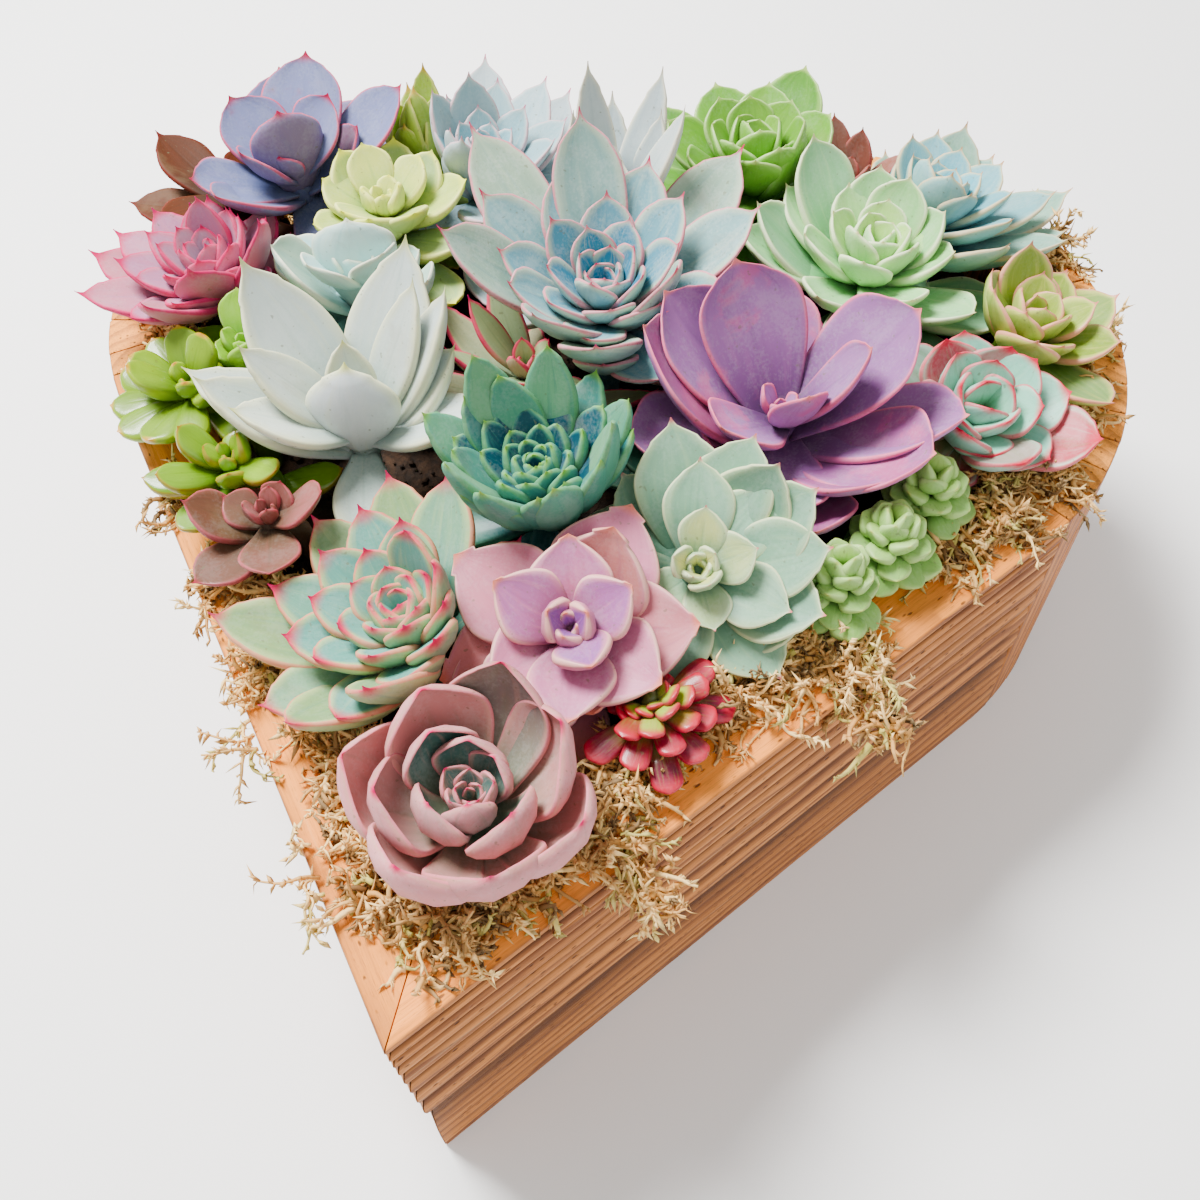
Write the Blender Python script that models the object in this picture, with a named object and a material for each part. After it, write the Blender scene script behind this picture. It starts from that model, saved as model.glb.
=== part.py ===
"""Succulent heart arrangement: a heart-shaped wooden box, filled with soil, planted with succulent rosettes.

Run with blender --background --python part.py. Blender's metres, +Z up; sizes below are in millimetres. The origin
lies on the underside of the box, at the middle of the heart's length, and +Y points from its tip to its notch.
"""
from dataclasses import dataclass
from math import acos, cos, hypot, pi, radians, sin

import bmesh
import bpy
import numpy as np

MM = 0.001
GAP = 0.3                       # clearance between pieces that touch

# Heart-shaped box
RIM = 89.0                      # height of the box, one 89 mm board
WALL = 19.0                     # board thickness
TIP_HALF_ANGLE = radians(39.24)
LOBE_RADIUS = 77.55
LOBE_X = 54.08                  # each lobe's centre, either side of the middle
LOBE_Y = 55.6
BASE_THICK = 9.0
SOIL_TOP = 79.0
HOLE_DEPTH = 24.0
BOARD_END = radians(-33.6)      # direction, from the lobe's centre, of the joint where board meets stave
STAVE_BLOCKS = 8                # glued blocks of narrow staves in each lobe
ARC_STEP = radians(7)           # one narrow stave
FLUTES = (0.05, 0.10, 0.16, 0.23, 0.32, 0.41, 0.52, 0.645)   # shares of the height, from the rim down
FLUTE_DEPTH = 1.4
FLUTE_HALF = 1.5

# Moss along the inner edge of the rim
MOSS_RISE = 4.0                 # above the rim
MOSS_OUT = 7.0                  # out over the rim
MOSS_IN = 3.0                   # in from the wall
MOSS_STEP = 12.0
MOSS_ENDS = 0.75                # height of a bed's ends, as a share of its middle
MOSS_MARGIN = 8.0               # leaves rise over a bed from this far beyond its ends
OVER_MOSS = 0.8                 # and stay this far above it
OVER_WOOD = 1.0
MOSS_BEDS = {                   # side, and millimetres round the inner edge from the tip, where each bed lies
    "moss_tip_right": (1, 6, 44),
    "moss_side_right": (1, 64, 102),
    "moss_bend_right": (1, 138, 172),
    "moss_lobe_right": (1, 190, 226),
    "moss_tip_left": (-1, 6, 40),
    "moss_side_left": (-1, 60, 92),
    "moss_bend_left": (-1, 150, 180),
    "moss_lobe_left": (-1, 214, 246),
}

GOLDEN_ANGLE = 137.508
SPIRAL_CENTRE = 4               # innermost leaves of a spiral that its bud stands for
SPIRAL_THINNING = 1.35          # above 1, more of the leaves left out are inner ones
BROADER = 1.2                   # the leaves of a thinned spiral are wider, to fill it
ROOT_REACH = (3.0, 1.0)         # how far out from the axis leaves start, outermost and innermost
STEM_RADIUS = 3.2
STEM_SIDES = 5
ELBOW_RISE = 5.0                # height above the rim where an edge plant's stem turns out over it
UP = np.array([0.0, 0.0, 1.0])
LEAF_STATIONS = (0.42, 0.78)    # shares of a leaf's length that have a ring of points
CLEAR = 0.6                     # leaves keep this far from what they lie over
LIFT_STEP = 2.5                 # degrees, as a leaf is bent clear
LIFT_MOST = 82.0
TRIM_STEP = 0.97
SHORTEST = 6.0
FAR_APART = 130.0               # plants further apart than this can't meet
CROWN_FOOT = 0.8                # radius of the crown's underside, as a share of the crown's
BUD_WAIST = 0.68                # and of the bud
BUD_WAIST_UP = 0.35             # how far up the bud that is
ELBOW_ALONG = 0.2               # how far from foot to crown the stem starts to turn


@dataclass
class Leaf:
    azimuth: float              # degrees clockwise from +Y
    rise: float                 # degrees above the plane square to the rosette's axis
    length: float
    age: float                  # 0 outermost, 1 innermost
    width: float = 0.0
    curl: float = 30.0


@dataclass
class Plant:
    name: str
    finish: str
    head: tuple                 # growing point: x, y and height above the rim
    leaves: list
    wide: tuple = (16, 6)       # leaf width, outermost and innermost
    thick: tuple = (4.0, 2.6)
    lean: tuple = (0, 0)        # degrees of lean, and the azimuth it leans towards
    foot: tuple = None          # where the stem enters the soil
    peak: float = 0.62          # where along its length a leaf is widest
    base: float = 0.42          # root width as a share of the widest
    point: float = 2.2          # larger is blunter
    cup: float = 0.18           # how far the edges lift, as a share of the half width
    core: float = 5.5           # radius of the crown that carries the leaves
    bud: float = 6.0            # height of the unopened centre above the growing point
    drop: tuple = (12, 2)       # how far below the growing point leaves start, outermost and innermost


def spiral(count, hand, phase, length, rise, curl, made):
    """Leaves in a golden-angle spiral, outermost first, thinned evenly to the number that is made."""
    leaves = []
    for k in range(made):
        i = round((count - 1 - SPIRAL_CENTRE) * (k / (made - 1)) ** SPIRAL_THINNING)
        age = i / (count - 1)
        size = length[0] + (length[1] - length[0]) * age
        lift = rise[0] + (rise[1] - rise[0]) * age
        turn = phase + hand * GOLDEN_ANGLE * i
        leaves.append(Leaf(turn, lift, size, age, curl=curl * (1 - 0.6 * age)))
    return leaves


def placed(*rows, curl=24.0):
    """Leaves placed one by one, outermost first, each as azimuth, rise, length and width."""
    last = max(1, len(rows) - 1)
    return [Leaf(row[0], row[1], row[2], i / last, row[3], curl) for i, row in enumerate(rows)]


PLANTS = [
    Plant("rosette_centre_blue", "blue_green_leaf", (5, 41, 30),
          spiral(29, -1, 305, (51, 8), (26, 80), 29, 13), wide=(19, 7), lean=(4, -17), core=9, bud=17),
    Plant("rosette_mint", "mint_leaf", (66, 73, 23),
          spiral(25, -1, 94, (32, 7), (14, 77), 32, 10), wide=(16, 7), lean=(7, 48), core=8, bud=12),
    Plant("rosette_bright_green", "green_leaf", (31, 96, 28),
          spiral(20, -1, 300, (29, 13), (6, 75), 32, 9), wide=(14, 8), lean=(2, -96), core=7.5, bud=12),
    Plant("rosette_back_right", "grey_blue_leaf", (86, 92, 23),
          spiral(20, 1, 338, (40, 6), (14, 83), 29, 9), wide=(14, 6), lean=(17, 37), core=7, bud=11),
    Plant("rosette_olive", "olive_leaf", (105, 65, 13),
          spiral(16, 1, 4, (30, 8), (21, 79), 29, 7), wide=(13, 7), lean=(14, 64), foot=(100, 64), drop=(7, 2), core=4.5, bud=7),
    Plant("rosette_mint_red_tips", "mint_red_leaf", (97, 34, 13),
          spiral(18, 1, 98, (24, 13), (13, 76), 31, 8), wide=(14, 9), lean=(20, 150), foot=(94, 37), drop=(7, 2), core=5, bud=8),
    Plant("rosette_purple", "purple_leaf", (53, 24, 16),
          placed((130, 14, 34, 25), (258, 28, 46, 24), (115, 30, 38, 26), (345, 30, 36, 24), (99, 38, 43, 25),
                 (241, 40, 34, 25), (180, 38, 26, 22), (285, 50, 42, 25), (81, 57, 44, 26), (325, 67, 43, 28),
                 (200, 62, 22, 18), (104, 62, 32, 14)),
          thick=(4.2, 3.2), peak=0.66, base=0.4, point=2.6, core=7.5, bud=14),
    Plant("rosette_pale_mint", "pale_mint_leaf", (42, -30, 25),
          placed((156, 0, 26, 18), (94, 8, 26, 20), (285, 8, 28, 20), (134, 8, 24, 16), (334, 12, 30, 21),
                 (4, 12, 29, 20), (205, 10, 24, 18), (121, 12, 26, 18), (317, 14, 26, 18), (29, 14, 23, 18),
                 (271, 25, 20, 15), (68, 24, 19, 15), (178, 28, 17, 14), (341, 38, 19, 14), (128, 36, 15, 12),
                 (215, 40, 15, 12)),
          lean=(26, 172), foot=(41, -25), point=2.4, core=8, bud=9),
    Plant("rosette_salmon", "salmon_leaf", (17, -51, 22),
          placed((146, 8, 23, 18), (239, 14, 28, 19), (67, 15, 23, 19), (291, 18, 28, 20), (5, 20, 25, 18),
                 (190, 16, 24, 17), (223, 32, 19, 15), (137, 40, 15, 14), (348, 45, 19, 14), (43, 45, 15, 12),
                 (268, 55, 12, 11)),
          thick=(5.0, 4.0), lean=(20, 170), foot=(16, -47), point=2.4, core=7.5, bud=9),
    Plant("rosette_teal_pink_tips", "teal_pink_leaf", (-23, -54, 21),
          spiral(30, 1, 255, (43, 11), (30, 76), 30, 12), wide=(18, 8), lean=(15, -78), foot=(-20, -52), core=8,
          bud=15),
    Plant("rosette_dense_teal", "deep_teal_leaf", (3, -15, 24),
          spiral(37, 1, 313, (35, 9), (34, 79), 29, 13), wide=(11, 6), thick=(4.2, 3), lean=(9, -146), core=8, bud=14),
    Plant("rosette_pink_cup", "pink_cup_leaf", (7, -87, 14),
          placed((202, 25, 26, 24), (271, 25, 29, 22), (95, 35, 24, 22), (292, 42, 28, 20), (190, 40, 23, 22),
                 (51, 48, 26, 24), (140, 34, 24, 22), (0, 42, 24, 22), (309, 55, 24, 20), (235, 50, 19, 17),
                 (349, 60, 18, 18), (30, 60, 16, 12), (160, 58, 15, 12)),
          thick=(3.6, 2.6), foot=(1, -83), point=2.8, cup=0.34, drop=(9, 2), core=5, bud=8),
    Plant("rosette_white", "white_leaf", (-44, -3, 14),
          placed((256, 15, 43, 16), (51, 20, 27, 11), (270, 25, 42, 16), (160, 22, 24, 15), (48, 38, 38, 12),
                 (11, 46, 50, 19), (299, 55, 45, 19), (205, 34, 20, 14), (31, 62, 37, 11), (141, 70, 27, 16),
                 (269, 56, 32, 13), (336, 78, 18, 10)),
          thick=(5.0, 3.6), peak=0.5, point=1.9, core=6, bud=9),
    Plant("rosette_mint_cup", "pale_cup_leaf", (-58, 39, 24),
          placed((249, 34, 25, 16), (64, 20, 25, 16), (130, 30, 20, 15), (175, 30, 20, 15), (283, 28, 25, 16),
                 (21, 30, 21, 15), (336, 30, 21, 15), (312, 45, 15, 13), (57, 48, 18, 13), (210, 50, 16, 13),
                 (120, 55, 14, 12)),
          point=2.5, cup=0.24, bud=9),
    Plant("rosette_yellow", "yellow_green_leaf", (-55, 63, 26),
          placed((265, 20, 26, 12), (38, 20, 18, 11), (300, 22, 20, 12), (337, 24, 16, 11), (10, 24, 18, 11),
                 (70, 30, 20, 11), (200, 40, 16, 11), (274, 45, 16, 11), (130, 45, 14, 10), (36, 50, 15, 10)),
          thick=(5.0, 4.0), point=2.5, bud=7),
    Plant("rosette_pink", "pink_leaf", (-100, 39, 14),
          spiral(33, 1, 183, (33, 11), (24, 77), 32, 12), wide=(12, 7), thick=(3.4, 2.6), lean=(8, -113),
          foot=(-95, 39), peak=0.5, point=1.7, drop=(7, 2), core=5, bud=9),
    Plant("rosette_lavender", "lavender_leaf", (-86, 73, 24),
          placed((263, 20, 21, 16), (57, 22, 28, 16), (309, 22, 42, 24), (18, 22, 42, 20), (140, 20, 24, 17),
                 (333, 30, 34, 22), (53, 45, 39, 16), (200, 30, 20, 16), (353, 40, 32, 22), (297, 42, 20, 17),
                 (40, 52, 20, 16)),
          point=2.4, core=6, bud=9),
    Plant("rosette_back_blue", "powder_blue_leaf", (-37, 87, 26),
          spiral(23, -1, 347, (37, 9), (20, 82), 30, 9), wide=(14, 7), lean=(8, 78), peak=0.52, point=1.9, core=7, bud=13),
    Plant("rosette_copper", "copper_leaf", (-105, 70, 14),
          placed((258, 25, 24, 15), (300, 32, 26, 16), (340, 42, 26, 14), (215, 30, 20, 14), (20, 50, 20, 13)),
          foot=(-99, 68), thick=(3.4, 2.6), point=2.0, drop=(7, 2), core=4.5, bud=8),
    Plant("rosette_grey_upright", "silver_leaf", (-1, 70, 22),
          placed((350, 52, 40, 9), (40, 56, 38, 9), (300, 56, 36, 9), (90, 58, 34, 9), (20, 68, 40, 9),
                 (250, 60, 32, 9), (330, 72, 40, 8), (60, 75, 36, 8)),
          thick=(3.4, 2.8), peak=0.5, point=1.8, core=4.5, bud=12),
    Plant("rosette_back_green", "yellow_green_leaf", (-60, 93, 20),
          placed((340, 50, 28, 8), (30, 55, 26, 8), (290, 55, 26, 8), (90, 60, 24, 7), (0, 70, 30, 7),
                 (220, 60, 22, 7), (150, 66, 22, 7)),
          thick=(3.2, 2.6), peak=0.5, point=1.8, core=4, bud=8),
    Plant("rosette_back_red", "brick_red_leaf", (58, 104, 20),
          placed((350, 36, 24, 10), (40, 38, 24, 10), (20, 58, 24, 10), (310, 45, 20, 9), (80, 50, 20, 9),
                 (330, 66, 20, 9)),
          thick=(3.2, 2.6), point=2.0, core=4, bud=7),
    Plant("rosette_pink_edged", "pink_edged_leaf", (-11, 22, 15),
          placed((260, 25, 24, 8), (300, 30, 26, 8), (215, 30, 22, 8), (170, 34, 20, 7), (330, 46, 22, 7),
                 (240, 52, 20, 7), (125, 42, 18, 7)),
          thick=(3.2, 2.6), peak=0.5, point=1.8, core=4.2, bud=7),
    Plant("rosette_dark_green", "dark_green_leaf", (29, 3, 10),
          placed((280, 20, 20, 11), (215, 24, 18, 11), (335, 28, 18, 11), (160, 26, 16, 10), (60, 40, 14, 9),
                 (250, 55, 14, 9)),
          thick=(3.4, 2.8), point=2.2, core=4.2, bud=6),
    Plant("rosette_brownish", "red_olive_leaf", (-59, -30, 13),
          placed((250, 14, 24, 14), (205, 18, 22, 14), (300, 26, 22, 14), (275, 42, 18, 12), (160, 24, 20, 13),
                 (20, 40, 16, 11)),
          foot=(-51, -27), thick=(3.2, 2.6), point=2.1, drop=(7, 2), core=4.2, bud=6),
    Plant("sedum_green_cluster", "lime_leaf", (-71, -17, 13),
          placed((255, 10, 16, 8), (200, 15, 15, 8), (300, 20, 16, 8), (230, 38, 14, 8), (160, 30, 13, 7),
                 (340, 36, 13, 7), (270, 58, 12, 7), (60, 50, 10, 7)),
          foot=(-62, -14), thick=(5.0, 4.2), peak=0.6, point=3.0, cup=0.0, drop=(7, 2), core=4.2, bud=6),
    Plant("sedum_jelly_green", "jelly_green_leaf", (-91, 2, 13),
          placed((255, 4, 22, 10), (285, 10, 24, 10), (225, 8, 20, 10), (310, 24, 22, 9), (190, 14, 18, 9),
                 (270, 36, 18, 9), (335, 48, 18, 8), (120, 40, 12, 8)),
          foot=(-74, 2), thick=(7.0, 5.5), peak=0.68, base=0.5, point=3.2, cup=0.0, drop=(7, 2), core=4.2, bud=6),
    Plant("rosette_small_green", "green_leaf", (-79, 15, 15),
          placed((300, 18, 16, 11), (170, 18, 15, 11), (230, 22, 16, 11), (20, 28, 15, 10), (90, 30, 14, 10),
                 (265, 42, 13, 9), (135, 44, 12, 9), (340, 52, 12, 8)),
          foot=(-76, 17), thick=(4.4, 3.6), point=2.8, core=4.4, bud=6),
    Plant("sedum_red_beans", "red_bean_leaf", (35, -58, 13),
          placed((160, -4, 16, 6), (205, 0, 17, 6), (115, 4, 16, 6), (250, 8, 16, 6), (75, 10, 14, 6),
                 (182, 14, 17, 6), (138, 20, 16, 6), (225, 24, 16, 6), (95, 28, 14, 6), (290, 26, 14, 6),
                 (160, 44, 14, 6), (205, 46, 14, 6), (20, 30, 13, 6), (255, 52, 12, 6), (110, 56, 12, 6)),
          foot=(28, -53), thick=(5.4, 5.0), peak=0.7, base=0.5, point=4.0, cup=0.0, drop=(7, 2), core=4.2, bud=8),
    Plant("burrito_head_back", "bead_green_leaf", (85, 6, 14),
          spiral(20, 1, 40, (9, 6), (0, 70), 0, 9), foot=(79, 8), wide=(5.6, 4.6), thick=(5.2, 4.4), peak=0.6,
          base=0.6, point=4.0, cup=0.0, drop=(7, 2), core=4.4, bud=5),
    Plant("burrito_head_middle", "bead_green_leaf", (78, -9, 14),
          spiral(20, -1, 100, (9, 6), (0, 70), 0, 9), foot=(69, -5), wide=(5.6, 4.6), thick=(5.2, 4.4), peak=0.6,
          base=0.6, point=4.0, cup=0.0, drop=(7, 2), core=4.4, bud=5),
    Plant("burrito_head_front", "bead_green_leaf", (69, -22, 14),
          spiral(20, 1, 160, (9, 6), (0, 70), 0, 9), foot=(61, -15), wide=(5.6, 4.6), thick=(5.2, 4.4), peak=0.6,
          base=0.6, point=4.0, cup=0.0, drop=(7, 2), core=4.4, bud=5),
]

FINISHES = {                    # colour and roughness of each finish
    "wood_board": ((0.62, 0.36, 0.18), 0.6),
    "wood_stave": ((0.58, 0.33, 0.17), 0.6),
    "wood_base": ((0.50, 0.34, 0.20), 0.7),
    "soil": ((0.05, 0.035, 0.025), 0.95),
    "moss": ((0.55, 0.42, 0.22), 0.9),
    "blue_green_leaf": ((0.38, 0.56, 0.56), 0.5),
    "mint_leaf": ((0.50, 0.74, 0.48), 0.5),
    "green_leaf": ((0.20, 0.45, 0.07), 0.4),
    "grey_blue_leaf": ((0.38, 0.56, 0.60), 0.5),
    "olive_leaf": ((0.36, 0.44, 0.14), 0.45),
    "mint_red_leaf": ((0.40, 0.62, 0.50), 0.45),
    "purple_leaf": ((0.27, 0.15, 0.33), 0.45),
    "pale_mint_leaf": ((0.44, 0.63, 0.49), 0.5),
    "salmon_leaf": ((0.68, 0.32, 0.33), 0.5),
    "teal_pink_leaf": ((0.33, 0.55, 0.48), 0.5),
    "deep_teal_leaf": ((0.07, 0.30, 0.35), 0.45),
    "pink_cup_leaf": ((0.62, 0.34, 0.36), 0.5),
    "white_leaf": ((0.70, 0.73, 0.69), 0.6),
    "pale_cup_leaf": ((0.48, 0.70, 0.65), 0.5),
    "yellow_green_leaf": ((0.62, 0.68, 0.24), 0.5),
    "pink_leaf": ((0.55, 0.25, 0.38), 0.5),
    "lavender_leaf": ((0.32, 0.29, 0.47), 0.5),
    "powder_blue_leaf": ((0.50, 0.62, 0.68), 0.55),
    "copper_leaf": ((0.33, 0.10, 0.07), 0.45),
    "silver_leaf": ((0.55, 0.58, 0.60), 0.6),
    "brick_red_leaf": ((0.40, 0.13, 0.11), 0.5),
    "pink_edged_leaf": ((0.42, 0.52, 0.48), 0.5),
    "dark_green_leaf": ((0.08, 0.18, 0.15), 0.4),
    "red_olive_leaf": ((0.22, 0.10, 0.08), 0.45),
    "lime_leaf": ((0.30, 0.48, 0.08), 0.35),
    "jelly_green_leaf": ((0.26, 0.42, 0.03), 0.25),
    "red_bean_leaf": ((0.55, 0.05, 0.07), 0.3),
    "bead_green_leaf": ((0.36, 0.60, 0.22), 0.45),
}


def clear_scene():
    for thing in list(bpy.data.objects):
        bpy.data.objects.remove(thing, do_unlink=True)


def finish(name):
    """The Principled material of that name, made once."""
    found = bpy.data.materials.get(name)
    if found:
        return found
    colour, roughness = FINISHES[name]
    made = bpy.data.materials.new(name)
    made.use_nodes = True
    shader = made.node_tree.nodes["Principled BSDF"]
    shader.inputs["Base Color"].default_value = (*colour, 1)
    shader.inputs["Roughness"].default_value = roughness
    shader.inputs["Metallic"].default_value = 0.0
    made.diffuse_color = (*colour, 1)
    return made


def add_object(name, mesh, collection, material=None):
    thing = bpy.data.objects.new(name, mesh)
    collection.objects.link(thing)
    if material:
        mesh.materials.clear()
        mesh.materials.append(finish(material))
    return thing


def new_collection(name):
    made = bpy.data.collections.new(name)
    bpy.context.scene.collection.children.link(made)
    return made


def unit(vector):
    return vector / np.linalg.norm(vector)


def loft(name, rings, tip=None, start=None):
    """A closed mesh through rings of points in millimetres; each end is flat unless it is given a point."""
    body = bmesh.new()
    rows = [[body.verts.new(point * MM) for point in ring] for ring in rings]
    sides = len(rows[0])
    for low, high in zip(rows, rows[1:]):
        for i in range(sides):
            j = (i + 1) % sides
            body.faces.new((low[i], low[j], high[j]))
            body.faces.new((low[i], high[j], high[i]))
    if start is None:
        body.faces.new(rows[0][::-1])
    else:
        first = body.verts.new(start * MM)
        for i in range(sides):
            body.faces.new((rows[0][(i + 1) % sides], rows[0][i], first))
    if tip is None:
        body.faces.new(rows[-1])
    else:
        end = body.verts.new(tip * MM)
        for i in range(sides):
            body.faces.new((rows[-1][i], rows[-1][(i + 1) % sides], end))
    bmesh.ops.recalc_face_normals(body, faces=body.faces)
    mesh = bpy.data.meshes.new(name)
    body.to_mesh(mesh)
    body.free()
    return mesh


def slab(name, outline, low, high, collection, material):
    """A flat outline in millimetres, filled and extruded from low to high, as a mesh object."""
    curve = bpy.data.curves.new(name, "CURVE")
    curve.dimensions = "2D"
    curve.fill_mode = "BOTH"
    curve.extrude = (high - low) / 2 * MM
    spline = curve.splines.new("POLY")
    spline.points.add(len(outline) - 1)
    for point, (x, y) in zip(spline.points, outline):
        point.co = (x * MM, y * MM, 0, 1)
    spline.use_cyclic_u = True
    drawn = add_object(name + "_outline", curve, collection)
    drawn.location.z = (low + high) / 2 * MM
    bpy.context.view_layer.update()
    graph = bpy.context.evaluated_depsgraph_get()
    mesh = bpy.data.meshes.new_from_object(drawn.evaluated_get(graph))
    body = bmesh.new()
    body.from_mesh(mesh)
    bmesh.ops.remove_doubles(body, verts=body.verts, dist=1e-6)
    bmesh.ops.recalc_face_normals(body, faces=body.faces)
    body.to_mesh(mesh)
    body.free()
    solid = add_object(name, mesh, collection, material)
    solid.matrix_world = drawn.matrix_world
    bpy.data.objects.remove(drawn, do_unlink=True)
    return solid


def tip_y(inset):
    """Y of the heart's tip, for the outline moved in by inset."""
    return LOBE_Y - (LOBE_RADIUS - inset + LOBE_X * cos(TIP_HALF_ANGLE)) / sin(TIP_HALF_ANGLE)


def side_normal():
    """Direction square to the right-hand straight side, pointing out."""
    return np.array([cos(TIP_HALF_ANGLE), -sin(TIP_HALF_ANGLE)])


def lobe_point(angle, inset):
    """A point on the right-hand lobe, in the direction angle from its centre."""
    radius = LOBE_RADIUS - inset
    return np.array([LOBE_X + radius * cos(angle), LOBE_Y + radius * sin(angle)])


def middle_angle(inset):
    """Direction from the right-hand lobe's centre to where its outline meets the middle plane."""
    return pi - acos((LOBE_X - GAP / 2) / (LOBE_RADIUS - inset))


def arc_points(first, last, inset):
    """Points round the right-hand lobe from one direction to another, a stave apart."""
    steps = max(1, round((last - first) / ARC_STEP))
    return [lobe_point(first + (last - first) * i / steps, inset) for i in range(steps + 1)]


def heart_outline(inset):
    """The whole outline, moved in by inset, from the tip round the right-hand lobe and back."""
    right = arc_points(-TIP_HALF_ANGLE, middle_angle(inset), inset)
    left = [np.array([-p[0], p[1]]) for p in right[::-1]]
    return [np.array([0.0, tip_y(inset)])] + right[:-1] + [np.array([0.0, right[-1][1]])] + left[1:]


def beyond_inner_edge(x, y):
    """How far a point lies outside the wall's inner face; negative inside the box."""
    point = np.array([abs(x), y])
    along = (point - [0, tip_y(WALL)]) @ [sin(TIP_HALF_ANGLE), cos(TIP_HALF_ANGLE)]
    side_length = hypot(*(lobe_point(-TIP_HALF_ANGLE, WALL) - [0, tip_y(WALL)]))
    if y > LOBE_Y or along > side_length:
        return hypot(*(point - [LOBE_X, LOBE_Y])) - (LOBE_RADIUS - WALL)
    return (point - [0, tip_y(WALL)]) @ side_normal()


def round_inner_edge(distance, inset, side):
    """A point on the outline moved in by inset, that far round the wall's inner edge from the tip."""
    side_length = hypot(*(lobe_point(-TIP_HALF_ANGLE, WALL) - [0, tip_y(WALL)]))
    if distance < side_length:
        start = np.array([0, tip_y(WALL)])
        point = start + distance * np.array([sin(TIP_HALF_ANGLE), cos(TIP_HALF_ANGLE)])
        point = point + side_normal() * (WALL - inset)
    else:
        angle = -TIP_HALF_ANGLE + (distance - side_length) / (LOBE_RADIUS - WALL)
        point = lobe_point(angle, inset)
    return np.array([side * point[0], point[1]])


def flute_profile(depth):
    """Outer face of a board from the base up, as pairs of inset and height."""
    profile = [(0.0, 0.0)]
    for share in sorted(FLUTES, reverse=True):
        middle = RIM * (1 - share)
        profile += [(0.0, middle - FLUTE_HALF), (depth, middle), (0.0, middle + FLUTE_HALF)]
    return profile + [(0.0, RIM), (WALL, RIM), (WALL, 0.0)]


def board(name, side, collection):
    """One straight side of the heart, mitred at the tip, with flutes along its outer face."""
    direction = np.array([sin(TIP_HALF_ANGLE), cos(TIP_HALF_ANGLE)])
    start = np.array([0, tip_y(0)])
    mitre, bend, joint = [], [], []
    for inset, height in flute_profile(FLUTE_DEPTH):
        run = (GAP / 2 + inset * cos(TIP_HALF_ANGLE)) / sin(TIP_HALF_ANGLE)
        mitre.append((*(start + direction * run - side_normal() * inset), height))
        bend.append((*lobe_point(-TIP_HALF_ANGLE, inset), height))
    for inset, height in flute_profile(FLUTE_DEPTH / 2):
        joint.append((*lobe_point(BOARD_END, inset), height))
    rings = [np.array(ring) * [side, 1, 1] for ring in (mitre, bend, joint)]
    return add_object(name, loft(name, rings), collection, "wood_board")


def stave_block(name, side, number, collection):
    """Some narrow staves of a lobe, glued side by side; the last block ends at the middle plane."""
    seam = GAP / LOBE_RADIUS
    span = (middle_angle(0) - BOARD_END) / STAVE_BLOCKS
    first = BOARD_END + span * number + seam
    last = first + span - seam
    ends = (middle_angle(0), middle_angle(WALL)) if number == STAVE_BLOCKS - 1 else (last, last)
    outer = arc_points(first, ends[0], 0)
    inner = arc_points(first, ends[1], WALL)
    outline = [(side * x, y) for x, y in outer + inner[::-1]]
    return slab(name, outline, 0, RIM, collection, "wood_stave")


def moss_bed(name, side, first, last, collection):
    """A low bank of moss on the inner edge of the rim, hanging a little way down inside."""
    section = [(WALL - MOSS_OUT, RIM + GAP), (WALL - MOSS_OUT * 0.6, RIM + MOSS_RISE * 0.8),
               (WALL - MOSS_OUT * 0.1, RIM + MOSS_RISE), (WALL + MOSS_IN, RIM + MOSS_RISE * 0.4),
               (WALL + MOSS_IN, SOIL_TOP + GAP), (WALL + GAP, SOIL_TOP + GAP), (WALL + GAP, RIM + GAP)]
    steps = max(2, round((last - first) / MOSS_STEP))
    rings = []
    for i in range(steps + 1):
        distance = first + (last - first) * i / steps
        swell = MOSS_ENDS + (1 - MOSS_ENDS) * sin(pi * i / steps)
        ring = []
        for inset, height in section:
            low = max(0.0, height - RIM - GAP)
            x, y = round_inner_edge(distance, inset, side)
            ring.append((x, y, height - low * (1 - swell)))
        rings.append(np.array(ring))
    return add_object(name, loft(name, rings), collection, "moss")


def ground(x, y):
    """Lowest height a leaf may reach there."""
    out = beyond_inner_edge(x, y)
    if out < -MOSS_IN - 1:
        return SOIL_TOP + OVER_WOOD
    if out > MOSS_OUT + 1:
        return RIM + OVER_WOOD
    side = 1 if x > 0 else -1
    for bed_side, first, last in MOSS_BEDS.values():
        middle = round_inner_edge((first + last) / 2, WALL, side)
        if side == bed_side and hypot(x - middle[0], y - middle[1]) < (last - first) / 2 + MOSS_MARGIN:
            return RIM + MOSS_RISE + OVER_MOSS
    return RIM + OVER_WOOD


def head_of(plant):
    return np.array([plant.head[0], plant.head[1], RIM + plant.head[2]])


def axes_of(plant):
    """The rosette's axis, and two directions square to it, the second as near +Y as can be."""
    lean, towards = radians(plant.lean[0]), radians(plant.lean[1])
    axis = np.array([sin(lean) * sin(towards), sin(lean) * cos(towards), cos(lean)])
    across = unit(np.cross([0.0, 1.0, 0.0], axis))
    return axis, across, np.cross(axis, across)


def width_share(along, peak, base, point):
    """Half width of a leaf, as a share of its widest: base at the root, 1 at peak, 0 at the tip."""
    if along < peak:
        return base + (1 - base) * sin(pi / 2 * along / peak) ** 1.2
    return (1 - ((along - peak) / (1 - peak)) ** point) ** 0.87


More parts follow.
